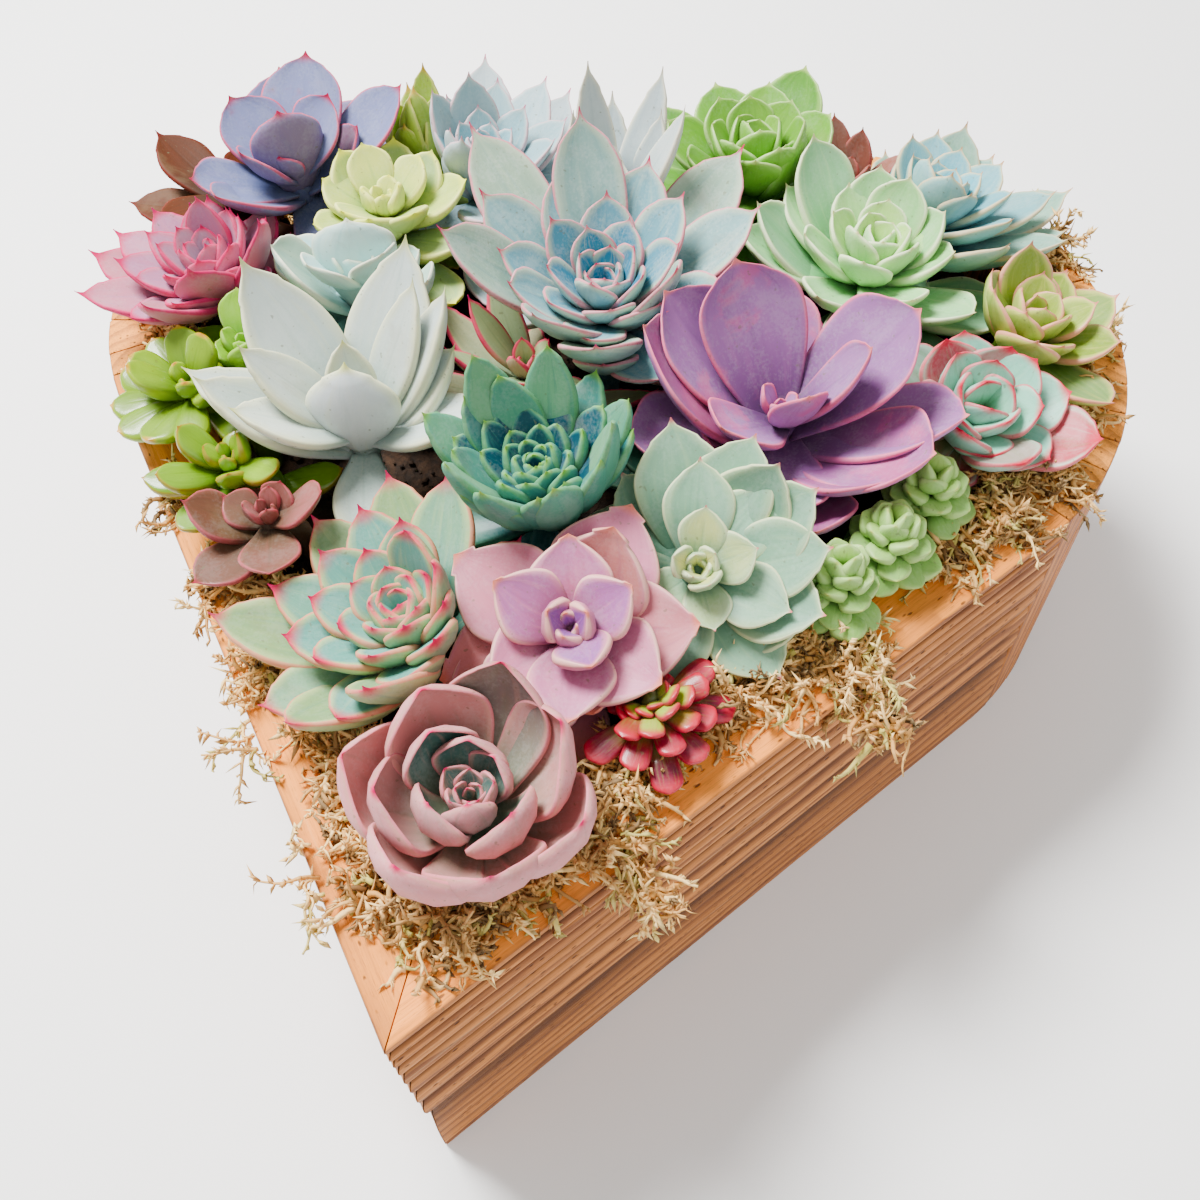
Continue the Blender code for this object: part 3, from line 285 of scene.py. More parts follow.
PLANTS = [
    Plant("rosette_centre_blue", "blue_green_leaf", (4, 42, 30),
          spiral(37, -1, 305, (55, 9), (26, 84), 24),
          Look("#7ca6ae", "#3c7a98", "#98ae98", "#487e8c", "#9cb8b4", "#c0ccb4", "#dc8496", "#d6486c", 2.2,
               0.4, 1.6, 0.3, young=(0.3, 0.75)),
          wide=(20, 9), lean=(8, 172), core=9, heart=(0, 0), peak=0.64, point=2.5, skirt=4, roll=30, sink=8,
          early=0.75),
    Plant("rosette_mint", "mint_leaf", (66, 73, 23),
          spiral(27, -1, 94, (41, 9), (14, 80), 38),
          Look("#a2d294", "#bae088", "#96c89a", "#66b06c", "#aed69c", "#cee6ae", "#e8f2c8", "#d9cf9c", 1.6,
               0.45, 1.0, 0.2),
          wide=(20, 10), lean=(7, 48), core=8, heart=(0, 0), acute=0.08, point=2.8, peak=0.66, roll=30,
          thick=(5, 3.4), early=0.5),
    Plant("rosette_bright_green", "green_leaf", (31, 96, 28),
          spiral(25, -1, 300, (35, 13), (18, 82), 40),
          Look("#70a446", "#88b856", "#5e9044", "#3e782c", "#7aaa50", "#92bc66", "#acca82", "#c4da8c", 1.4,
               0.4, 1.0, 0.1, 0.35),
          wide=(19, 11), lean=(2, -96), core=7.5, heart=(0, 0), acute=0.07, point=2.8, peak=0.66,
          thick=(5, 3.6)),
    Plant("rosette_back_right", "grey_blue_leaf", (79, 93, 23),
          spiral(28, 1, 338, (39, 8), (22, 83), 36),
          Look("#7caeb6", "#6cb0c0", "#8cb09a", "#4e8a9c", "#90b8b8", "#b0c8b2", "#d8c29c", "#c4906c", 1.4,
               0.4, 1.2, 0.2),
          wide=(17, 8), lean=(15, 37), core=7, heart=(0, 0), point=2.4, sink=3, early=0.3),
    Plant("rosette_olive", "olive_leaf", (105, 61, 12),
          spiral(19, 1, 4, (31, 10), (20, 78), 34),
          Look("#869c46", "#98ac50", "#7c9a62", "#547424", "#a6b564", "#d6d280", "#e59a90", "#d8847c", 1.8,
               0.5, 1.2, 0.08, 0.3),
          wide=(18, 9), lean=(12, 64), foot=(100, 64), drop=(7, 2), core=4.5, heart=(0, 0), skirt=5, sink=0),
    Plant("rosette_mint_red_tips", "mint_red_leaf", (94, 30, 13),
          spiral(21, 1, 98, (27, 12), (12, 80), 36),
          Look("#88c4ae", "#98d0b6", "#c4646e", "#568a48", "#a0c2ba", "#b4d2bc", "#dc6878", "#d23a52", 1.5,
               0.4, 2.2, 0.16, 0.2, young=(0.3, 0.8)),
          wide=(18, 11), lean=(18, 150), foot=(92, 34), drop=(7, 2), core=5, heart=(0, 0), acute=0.07,
          point=2.7, skirt=5, sink=0, thick=(5.2, 4)),
    Plant("rosette_purple", "purple_leaf", (50, 17, 21),
          placed((130, 8, 38, 26), (268, 22, 46, 29), (112, 20, 42, 27), (345, 36, 40, 26),
                 (96, 28, 44, 27), (240, 22, 36, 27), (180, 16, 30, 26), (290, 40, 42, 27),
                 (66, 46, 44, 29), (326, 56, 42, 27), (215, 42, 26, 20), (84, 60, 32, 15),
                 (150, 60, 22, 14)),
          Look("#946a98", "#ac82b0", "#a06088", "#6a4872", "#a87ca8", "#aa769e", "#e4829a", "#ec9090", 1.6,
               0.6, 1.2, 0.14, 0.0, "#c87094", 0.5),
          thick=(4.6, 3.4), peak=0.66, base=0.4, point=2.8, core=7.5, heart=(4, 11), acute=0.06, skirt=5,
          roll=34, sink=3, early=0.75),
    Plant("rosette_pale_mint", "pale_mint_leaf", (39.5, -32, 24),
          placed((160, -6, 33, 21), (100, -2, 33, 21), (285, -2, 35, 21), (45, -2, 33, 20),
                 (334, -2, 35, 21), (215, -2, 33, 20), (8, 4, 30, 20), (130, 8, 27, 18), (310, 8, 29, 19),
                 (70, 10, 27, 18), (250, 10, 28, 18), (185, 12, 26, 17), (28, 16, 23, 16),
                 (345, 18, 23, 16), (108, 20, 21, 15), (285, 20, 21, 15), (228, 22, 19, 14),
                 (155, 26, 17, 13), (62, 30, 15, 12), (0, 34, 14, 11), curl=8),
          Look("#86ac90", "#d6d688", "#769a82", "#5a846e", "#90b294", "#aec49c", "#d8deb4", "#dc7880", 2.0,
               0.35, 0.9, 0.16, 0.1, young=(0.5, 0.85)),
          lean=(24, 172), foot=(41, -25), peak=0.6, base=0.36, point=2.0, core=8, heart=(8, 11), acute=0.1,
          roll=26, thick=(5, 3.4), skirt=4, early=0.45),
    Plant("rosette_salmon", "salmon_leaf", (17, -51, 24),
          placed((150, -2, 28, 25), (239, 6, 27, 25), (75, 6, 24, 23), (291, 10, 28, 24), (12, 10, 28, 25),
                 (200, 4, 26, 24), (112, 18, 22, 21), (225, 22, 20, 19), (170, 22, 20, 19),
                 (345, 28, 20, 19), (285, 28, 18, 17), (50, 34, 16, 15), (140, 40, 14, 13)),
          Look("#c8849c", "#8c5c9c", "#ca8a86", "#9c607c", "#c48496", "#d4949e", "#ecbcb0", "#e08c7c", 1.4,
               0.3, 1.4, 0.14, 0.15, "#c87080", 0.2, young=(0.35, 0.85)),
          skirt=5, thick=(6.4, 5.0), lean=(18, 170), foot=(16, -47), point=1.7, peak=0.52, core=7.5,
          heart=(5, 12), acute=0.05, hook=10, roll=34, sink=3, early=1.15),
    Plant("rosette_teal_pink_tips", "teal_pink_leaf", (-20, -51, 22),
          spiral(42, 1, 255, (42, 9), (22, 84), 34),
          Look("#689e92", "#74a89c", "#84a070", "#427c74", "#8ca880", "#b8c68c", "#dc907e", "#d23868", 2.0,
               0.35, 2.8, 0.14),
          wide=(18, 9), thick=(5.8, 4.0), lean=(13, -96), foot=(-20, -52), core=8, heart=(0, 0), acute=0.10,
          hook=26, point=2.4, peak=0.62, roll=30, sink=7, early=0.75),
    Plant("rosette_dense_teal", "deep_teal_leaf", (1, -14, 25),
          spiral(52, 1, 313, (41, 9), (42, 86), 22),
          Look("#488a82", "#0a3e4e", "#76a680", "#125866", "#52927e", "#5e9a84", "#6ca274", "#88b658", 1.0,
               0.3, 1.5, 0.14, 0.25, young=(0.1, 0.42)),
          wide=(12.5, 6), thick=(7.0, 5.0), lean=(9, -146), core=8, heart=(0, 0), acute=0.07, roll=14,
          point=2.2, early=0.6),
    Plant("rosette_pink_cup", "pink_cup_leaf", (6, -88, 15),
          placed((202, 46, 31, 28), (271, 44, 35, 28), (100, 42, 33, 27), (318, 46, 34, 26),
                 (152, 46, 31, 27), (52, 46, 34, 27), (240, 54, 28, 24), (8, 50, 32, 26), (120, 60, 23, 20),
                 (309, 62, 23, 19), (215, 64, 19, 17), (349, 66, 19, 17), (30, 68, 16, 13),
                 (160, 70, 15, 12), curl=112, oldest=0.1, youngest=0.9),
          Look("#c48e8c", "#44625c", "#cc9490", "#727a64", "#d8989c", "#cc9c90", "#dc8c96", "#dc4070", 1.4,
               0.35, 1.0, 0.16, 0.1, young=(0.42, 0.6)),
          thick=(5.0, 3.0), foot=(1, -83), point=2.6, roll=56, drop=(8, 2), core=5, heart=(9, 12),
          acute=0.06, hook=8, skirt=0, sink=0, early=0.5),
    Plant("rosette_white", "white_leaf", (-44, -3, 17),
          placed((256, 8, 47, 19), (168, -4, 27, 15), (60, 14, 34, 15), (272, 18, 46, 18), (48, 32, 42, 15),
                 (6, 42, 49, 22), (172, 94, 26, 22), (299, 50, 47, 22), (86, 28, 34, 16), (31, 58, 39, 14),
                 (265, 54, 33, 15), (232, 34, 31, 16), (336, 76, 22, 12)),
          Look("#c8d3ce", "#d2d8c6", "#bcc9bf", "#9cb0a8", "#d0d6d8", "#d6d9ba", "#e4e4c2", "#cdd08c", 2.2,
               0.4, 1.8, 0.3),
          thick=(6.0, 4.4), peak=0.5, point=2.0, core=6, heart=(4, 12), keel=0.6, drop=(9, 2), sink=0,
          early=0.6, skirt=0),
    Plant("rosette_mint_cup", "pale_cup_leaf", (-58, 41, 25),
          placed((249, 26, 32, 20), (64, 20, 29, 19), (124, 26, 26, 19), (160, 94, 25, 22),
                 (283, 26, 31, 20), (21, 28, 27, 18), (336, 28, 28, 18), (312, 43, 21, 16),
                 (57, 46, 21, 16), (210, 48, 21, 16), (120, 53, 18, 15)),
          Look("#a8cccb", "#b6d8d3", "#b2cfbe", "#7cb2b2", "#c2dcd6", "#d4e0cc", "#ecebd2", "#e6e6cc", 1.8,
               0.4, 1.0, 0.22),
          point=2.7, peak=0.66, roll=38, heart=(7, 14), acute=0.07),
    Plant("rosette_yellow", "yellow_green_leaf", (-58, 63, 27),
          placed((265, 16, 30, 15), (38, 18, 24, 14), (110, 20, 22, 14), (300, 20, 26, 15),
                 (337, 22, 22, 15), (10, 22, 21, 15), (170, 26, 20, 14), (230, 26, 20, 14),
                 (70, 28, 24, 14), (274, 40, 19, 13), (130, 42, 17, 13), (200, 44, 17, 13),
                 (36, 46, 17, 12), (320, 48, 17, 12)),
          Look("#bccc76", "#d4dc84", "#a4bc80", "#84a866", "#c6d488", "#dce288", "#f0f29c", "#ecf070", 1.8,
               0.45, 1.8, 0.16),
          thick=(6, 4.6), point=2.7, peak=0.64, heart=(7, 12), acute=0.07, early=0.45),
    Plant("rosette_pink", "pink_leaf", (-98, 40, 15),
          spiral(34, 1, 183, (37, 11), (18, 80), 38),
          Look("#b6829e", "#a88a9c", "#c0828e", "#967e9e", "#c47c8e", "#c87c8e", "#d05078", "#cc3e6a", 1.8,
               0.45, 2.8, 0.12),
          wide=(17, 9), thick=(4.4, 3.2), lean=(6, -113), foot=(-95, 39), peak=0.55, point=2.0, drop=(7, 2),
          core=5, heart=(0, 0), acute=0.13, hook=20, skirt=5, sink=0),
    Plant("rosette_lavender", "lavender_leaf", (-86, 73, 24),
          placed((263, 12, 32, 20), (57, 18, 33, 20), (309, 16, 40, 26), (18, 18, 38, 25), (142, 8, 33, 19),
                 (200, 4, 32, 19), (333, 26, 34, 25), (53, 38, 36, 20), (232, 22, 30, 20),
                 (136, 88, 24, 20), (353, 36, 31, 24), (297, 38, 25, 20), (215, 50, 22, 16),
                 (40, 50, 22, 18)),
          Look("#777c9e", "#868aac", "#7c586c", "#5a648a", "#806c88", "#847c9e", "#cc6478", "#a6384c", 1.4,
               0.4, 1.8, 0.12, 0.0, "#8c4048", 0.35),
          point=2.6, core=6, heart=(6, 14), acute=0.08, skirt=3, roll=30, sink=3, early=0.45),
    Plant("rosette_back_blue", "powder_blue_leaf", (-38, 86, 25),
          spiral(31, -1, 347, (41, 10), (24, 84), 30),
          Look("#9cbac0", "#76aab6", "#b2c0c4", "#7aa2ae", "#bac8ce", "#c4d0ce", "#d8b4bc", "#d87090", 1.2,
               0.3, 1.0, 0.25),
          wide=(18, 8), lean=(6, 90), peak=0.56, point=2.1, core=7, heart=(0, 0), early=0.25),
    Plant("rosette_copper", "copper_leaf", (-105, 70, 15),
          placed((258, 12, 27, 14), (296, 20, 27, 15), (335, 30, 25, 14), (215, 16, 22, 13),
                 (20, 36, 22, 14)),
          Look("#4c2a1a", "#5a3022", "#522e1e", "#382618", "#4a281c", "#582f20", "#6c2c26", "#561e1c", 1.2,
               0.35, 1.6, 0.0, 0.0),
          foot=(-99, 68), thick=(4, 3), point=2.0, drop=(7, 2), core=4.5, heart=(5, 13), skirt=4, sink=0),
    Plant("rosette_grey_upright", "silver_leaf", (-1, 70, 24),
          placed((350, 50, 42, 12), (40, 54, 40, 12), (300, 54, 38, 12), (90, 56, 36, 12), (20, 66, 42, 12),
                 (250, 58, 34, 12), (330, 70, 42, 11), (60, 73, 38, 11)),
          Look("#b6c3c6", "#c6d0cc", "#b0bec0", "#8ca4a8", "#cacfd4", "#d4d8c8", "#e6e0cc", "#c8b49c", 1.2,
               0.35, 1.2, 0.3),
          thick=(4.6, 3.6), peak=0.5, point=2.0, core=4.5, heart=(7, 30), keel=0.5, skirt=7),
    Plant("rosette_back_green", "yellow_green_leaf", (-58, 93, 18),
          placed((340, 44, 28, 12), (30, 48, 27, 12), (290, 50, 27, 12), (90, 56, 25, 11), (0, 64, 29, 11),
                 (220, 56, 24, 11), (150, 60, 24, 11)),
          Look("#9cb854", "#abc05c", "#96b050", "#6e9440", "#a6be60", "#b2c468", "#cccc7c", "#d0a058", 1.0,
               0.35, 2.0, 0.1, 0.2),
          thick=(4, 3.2), peak=0.5, point=2.0, core=4, heart=(6, 24), skirt=6),
    Plant("rosette_back_red", "brick_red_leaf", (55, 104, 17),
          placed((350, 36, 22, 9), (40, 38, 22, 9), (20, 58, 22, 9), (310, 45, 19, 8), (80, 50, 19, 8),
                 (330, 66, 19, 8)),
          Look("#8c5c52", "#966a5e", "#84544a", "#6e5646", "#90605a", "#9c685e", "#b06c68", "#a04844", 1.0,
               0.35, 1.8, 0.1),
          thick=(3.6, 2.8), point=2.0, core=4, heart=(5, 14), skirt=4),
    Plant("rosette_pink_edged", "pink_edged_leaf", (-11, 22, 17),
          placed((260, 22, 30, 10), (300, 26, 31, 10), (215, 26, 29, 10), (170, 30, 28, 10),
                 (330, 42, 27, 9), (240, 48, 26, 9), (125, 38, 26, 9), (190, 46, 24, 8), (285, 56, 22, 8)),
          Look("#a2b286", "#a2ae80", "#949070", "#748a68", "#a08070", "#b8bc88", "#e03c74", "#dd3468", 1.0,
               0.6, 1.4, 0.1),
          thick=(3.6, 2.8), peak=0.5, point=2.0, core=4.2, heart=(5, 14), skirt=6, sink=2, early=0.9),
    Plant("rosette_dark_green", "dark_green_leaf", (29, 3, 13),
          placed((280, 20, 26, 13), (215, 24, 24, 13), (335, 28, 24, 13), (160, 26, 22, 12),
                 (60, 40, 20, 12), (250, 50, 18, 11), (20, 50, 18, 11)),
          Look("#38624f", "#4a7460", "#325848", "#244438", "#44705e", "#48725e", "#6c9074", "#88987c", 1.0,
               0.3, 1.0, 0.08, 0.3),
          thick=(4, 3), point=2.2, core=4.2, heart=(5, 12), skirt=5, sink=1),
    Plant("rosette_brownish", "red_olive_leaf", (-57, -30, 14),
          placed((250, 8, 20, 13), (205, 10, 20, 13), (300, 20, 19, 13), (275, 34, 18, 13),
                 (160, 16, 22, 14), (20, 36, 16, 12), (90, 34, 18, 12)),
          Look("#6c4a40", "#a06866", "#664638", "#504230", "#764640", "#7e5046", "#a85a60", "#983c4a", 1.2,
               0.4, 1.6, 0.08, 0.25),
          foot=(-51, -27), thick=(4, 3), point=2.2, drop=(7, 2), core=4.2, heart=(5, 10), skirt=0, sink=0),
    Plant("sedum_green_cluster", "lime_leaf", (-71, -17, 14),
          placed((255, 6, 19, 9), (200, 10, 18, 9), (300, 16, 19, 9), (230, 34, 17, 9), (160, 26, 16, 9),
                 (340, 32, 16, 9), (270, 54, 15, 8), (60, 46, 14, 8), (110, 28, 16, 8)),
          Look("#749c20", "#8cb034", "#6c921c", "#4e781a", "#78a024", "#80a42c", "#98843a", "#a47434", 0.8,
               0.3, 1.0, 0.04, 0.7),
          foot=(-62, -14), thick=(6.4, 5.2), peak=0.6, point=3.0, roll=4, drop=(7, 2), core=4.2,
          heart=(6, 9), acute=0.05, keel=0, skirt=5, sink=0),
    Plant("sedum_jelly_green", "jelly_green_leaf", (-89, 3, 14),
          placed((255, 4, 18, 10), (285, 8, 19, 10), (225, 4, 17, 10), (310, 20, 18, 10), (190, 10, 17, 10),
                 (330, 8, 17, 9), (160, 14, 16, 9), (270, 34, 16, 10), (335, 40, 16, 9), (120, 36, 14, 9),
                 (240, 42, 15, 9), (20, 48, 14, 9)),
          Look("#729410", "#82a41a", "#6c8e10", "#4e740e", "#7aa018", "#82a41e", "#90aa30", "#d0924e", 1.0,
               0.3, 1.2, 0.03, 0.7),
          foot=(-74, 2), thick=(8.4, 6.6), peak=0.66, base=0.5, point=3.0, roll=4, drop=(6, 2), core=4.2,
          heart=(4, 10), acute=0.04, keel=0, skirt=4, sink=0),
    Plant("rosette_small_green", "green_leaf", (-79, 15, 17),
          placed((300, 16, 20, 14), (170, 16, 19, 14), (230, 20, 20, 14), (20, 26, 19, 13),
                 (90, 28, 18, 13), (265, 40, 17, 12), (135, 42, 15, 12), (340, 50, 15, 11)),
          Look("#80b038", "#90bc48", "#74a834", "#508826", "#88b844", "#90bc4c", "#a4c868", "#bccc70", 1.0,
               0.3, 0.9, 0.06, 0.6),
          foot=(-76, 17), thick=(5.6, 4.4), point=2.8, core=4.4, heart=(6, 10), acute=0.06, skirt=5, sink=1),
    Plant("sedum_red_beans", "red_bean_leaf", (35, -58, 14),
          spiral(40, 1, 160, (15, 6), (-4, 84), 4),
          Look("#902c3c", "#a0b84c", "#701834", "#7c9a48", "#862a3a", "#983644", "#a43e4c", "#c04a56", 1.0,
               0.3, 4.0, 0.06, 0.5, young=(0.36, 0.6)),
          foot=(28, -53), wide=(6.6, 4.6), thick=(6.2, 4.4), peak=0.76, base=0.36, point=4.0, roll=2,
          drop=(7, 1), core=3.6, heart=(0, 0), acute=0.02, keel=0, hook=0, skirt=0, sink=0, early=0.5),
    *[Plant("burrito_head_" + word, "bead_green_leaf", head,
            spiral(27, hand, turn, (9.2, 6.4), (-24, 84), 0),
            Look("#94bc70", "#aacc78", "#88b064", "#5f8c46", "#98c072", "#a8cc7e", "#b4d48a", "#bccc78", 1.0,
                 0.3, 0.8, 0.1, 0.2),
            foot=foot, wide=(8.2, 6.0), thick=(8.0, 5.8), peak=0.58, base=0.45, point=2.4, roll=2,
            drop=(11, 1), core=3.6, heart=(0, 0), acute=0.04, keel=0, hook=0, skirt=0, sink=0, early=0.5)
      for word, head, foot, hand, turn in (("back", (85, 6, 17), (79, 8), 1, 40),
                                           ("middle", (78, -9, 17), (69, -5), -1, 100),
                                           ("front", (69, -22, 17), (61, -15), 1, 160))],
]


# Finishes

def tint(code):
    """Linear colour of an sRGB hex code."""
    shares = [int(code[i:i + 2], 16) / 255 for i in (1, 3, 5)]
    return (*[s / 12.92 if s <= 0.04045 else ((s + 0.055) / 1.055) ** 2.4 for s in shares], 1.0)


class Wire:
    """A value in a finish's node tree; sums written with it add Math nodes."""

    def __init__(self, paint, socket):
        self.paint = paint
        self.socket = socket

    def math(self, operation, first, second):
        return self.paint.node("ShaderNodeMath", {"operation": operation}, {0: first, 1: second})

    def __add__(self, other):
        return self.math("ADD", self, other)

    def __radd__(self, other):
        return self.math("ADD", other, self)

    def __sub__(self, other):
        return self.math("SUBTRACT", self, other)

    def __rsub__(self, other):
        return self.math("SUBTRACT", other, self)

    def __mul__(self, other):
        return self.math("MULTIPLY", self, other)

    def __rmul__(self, other):
        return self.math("MULTIPLY", other, self)

    def __truediv__(self, other):
        return self.math("DIVIDE", self, other)

    def __abs__(self):
        return self.paint.node("ShaderNodeMath", {"operation": "ABSOLUTE"}, {0: self})


class Paint:
    """One finish: a material, its Principled shader and the nodes that feed it."""

    def __init__(self, name, **constants):
        self.material = bpy.data.materials.new(name)
        self.material.use_nodes = True
        self.tree = self.material.node_tree
        self.shader = self.tree.nodes["Principled BSDF"]
        for socket, value in constants.items():
            self.shader.inputs[socket.replace("_", " ")].default_value = value

    def node(self, kind, settings=None, sockets=None, out=0):
        """Add a node, set it up, then fill or link its sockets; gives one of its outputs."""
        made = self.tree.nodes.new(kind)
        for key, value in (settings or {}).items():
            setattr(made, key, value)
        for key, value in (sockets or {}).items():
            if isinstance(value, Wire):
                self.tree.links.new(value.socket, made.inputs[key])
            else:
                made.inputs[key].default_value = value
        return Wire(self, made.outputs[out])

    def feed(self, socket, wire):
        """Link a wire to one of the shader's sockets."""
        self.tree.links.new(wire.socket, self.shader.inputs[socket])

    def split(self, name):
        """The three numbers of a piece's own vector attribute."""
        vector = self.node("ShaderNodeAttribute", {"attribute_name": name}, out=1)
        return [self.node("ShaderNodeSeparateXYZ", None, {0: vector}, out=i) for i in range(3)]

    def join(self, x, y, z):
        """A vector of three numbers."""
        return self.node("ShaderNodeCombineXYZ", None, {0: x, 1: y, 2: z})

    def place(self):
        """Place on the piece, in metres."""
        return self.node("ShaderNodeTexCoord", None, None, out=3)

    def ease(self, value, start, end, low=0.0, high=1.0):
        """Smooth step from low at start to high at end."""
        return self.node("ShaderNodeMapRange", {"interpolation_type": "SMOOTHSTEP"},
                         {0: value, 1: start, 2: end, 3: low, 4: high})

    def blend(self, share, low, high, way="MIX"):
        """Colour that turns from low to high by that share."""
        sockets = {0: share, 6: low, 7: high}
        return self.node("ShaderNodeMix", {"data_type": "RGBA", "blend_type": way}, sockets, out=2)

    def shade(self, colour, share):
        """Colour made darker, or above 1 paler, by a share."""
        return self.blend(1.0, colour, self.join(share, share, share), "MULTIPLY")

    def noise(self, where, scale, detail=2.0, rough=0.5, warp=0.0):
        """Cloudy pattern from 0 to 1."""
        sockets = {"Vector": where, "Scale": scale, "Detail": detail, "Roughness": rough, "Distortion": warp}
        return self.node("ShaderNodeTexNoise", None, sockets)

    def cells(self, where, scale):
        """Distance to the nearest of many scattered points."""
        return self.node("ShaderNodeTexVoronoi", None, {"Vector": where, "Scale": scale})

    def relief(self, height, strength, depth):
        """Surface relief of that depth in millimetres."""
        sockets = {"Height": height, "Strength": strength, "Distance": depth * MM}
        self.feed("Normal", self.node("ShaderNodeBump", None, sockets))


def leaf_finish(plant):
    """Fleshy leaf: colour by age, root, underside, edge and tip, with a powdery film and faint veins; the
    root colour and the darkening towards the root are partly painted shade.
    """
    look = plant.look
    paint = Paint(plant.name + "_leaf", Subsurface_Weight=0.08, Subsurface_Scale=0.003, IOR=1.4,
                  Subsurface_Radius=(1.0, 0.6, 0.35), Specular_IOR_Level=0.28 + 0.3 * look.gloss,
                  Coat_Weight=0.5 * look.gloss, Coat_Roughness=0.16)
    along, across, upper = paint.split("leaf_place")
    edge, tip, tone = paint.split("leaf_reach")
    youth, vein_seed, patch = paint.split("leaf_self")
    where = paint.place()
    cloud = paint.noise(where, 140.0, 3.0, 0.6)
    grain = paint.noise(where, 1400.0, 2.0, 0.6)
    veins = paint.noise(paint.join(across * 4.0, along * 1.2, vein_seed * 40.0), 1.6, 3.0, 0.55)
    colour = paint.blend(paint.ease(youth, 0.0, 0.3), tint(look.old), tint(look.body))
    colour = paint.blend(paint.ease(youth, *look.young), colour, tint(look.heart))
    # Colour towards the root: partly the leaf's own colour, partly painted shade deep in the rosette.
    colour = paint.blend(paint.ease(along, 0.7, 0.12) * 0.85, colour, tint(look.root))
    colour = paint.blend(paint.ease(upper, 0.1, -0.35) * 0.85, colour, tint(look.back))
    halo = paint.ease(edge + (cloud - 0.5) * look.halo_mm, look.halo_mm * 1.4, 0.0)
    colour = paint.blend(halo * paint.ease(along, 0.1, 0.6) * 0.8, colour, tint(look.halo))
    colour = paint.blend(paint.ease(veins, 0.5, 0.8) * 0.3, colour, tint(look.halo))
    colour = paint.blend(paint.ease(veins, 0.5, 0.2) * 0.3, colour, tint(look.root))
    rib = paint.ease(abs(across), 0.1, 0.0) * paint.ease(upper, 0.2, 0.6) * paint.ease(along, 0.9, 0.5)
    colour = paint.blend(rib * 0.25, colour, tint(look.root))
    rubbed = paint.noise(where, 75.0, 4.0, 0.6, 0.4)
    patches = paint.ease(rubbed + (patch - 0.5) * 0.2, 0.6, 0.7) * look.blotches
    colour = paint.blend(patches, colour, tint(look.blotch))
    line = paint.ease(edge, look.edge_mm * 1.5, look.edge_mm * 0.5) * paint.ease(along, 0.12, 0.55)
    colour = paint.blend(line * 0.8, colour, tint(look.edge))
    blush = paint.ease(tip + (cloud - 0.5) * look.tip_mm * 1.2, look.tip_mm * 2.1, look.tip_mm * 0.25)
    colour = paint.blend(blush * 0.95, colour, tint(look.tip))
    film = paint.ease(cloud * 0.6 + grain * 0.4, 0.44, 0.62) * look.bloom
    colour = paint.blend(film * 0.55, colour, tint(FILM))
    specks = paint.ease(paint.noise(where, 800.0, 1.0), 0.7, 0.78) * 0.5
    colour = paint.blend(specks, colour, tint(SPECK))
    # Painted shade: each leaf darkened towards its root, down to 0.7 at the root, times its own random tone.
    colour = paint.shade(colour, tone * paint.ease(along, 0.0, 0.5, 0.7, 1.0))
    sockets = {"Saturation": LEAF_SATURATION, "Value": LEAF_VALUE, "Color": colour}
    paint.feed("Base Color", paint.node("ShaderNodeHueSaturation", None, sockets))
    paint.feed("Roughness", film * 0.2 + (grain - 0.5) * 0.1 + (0.62 - 0.34 * look.gloss))
    paint.relief(veins * 0.6 + grain * 0.25 + cloud * 0.5 - rib * 0.4, 0.35, 0.35)
    return paint.material


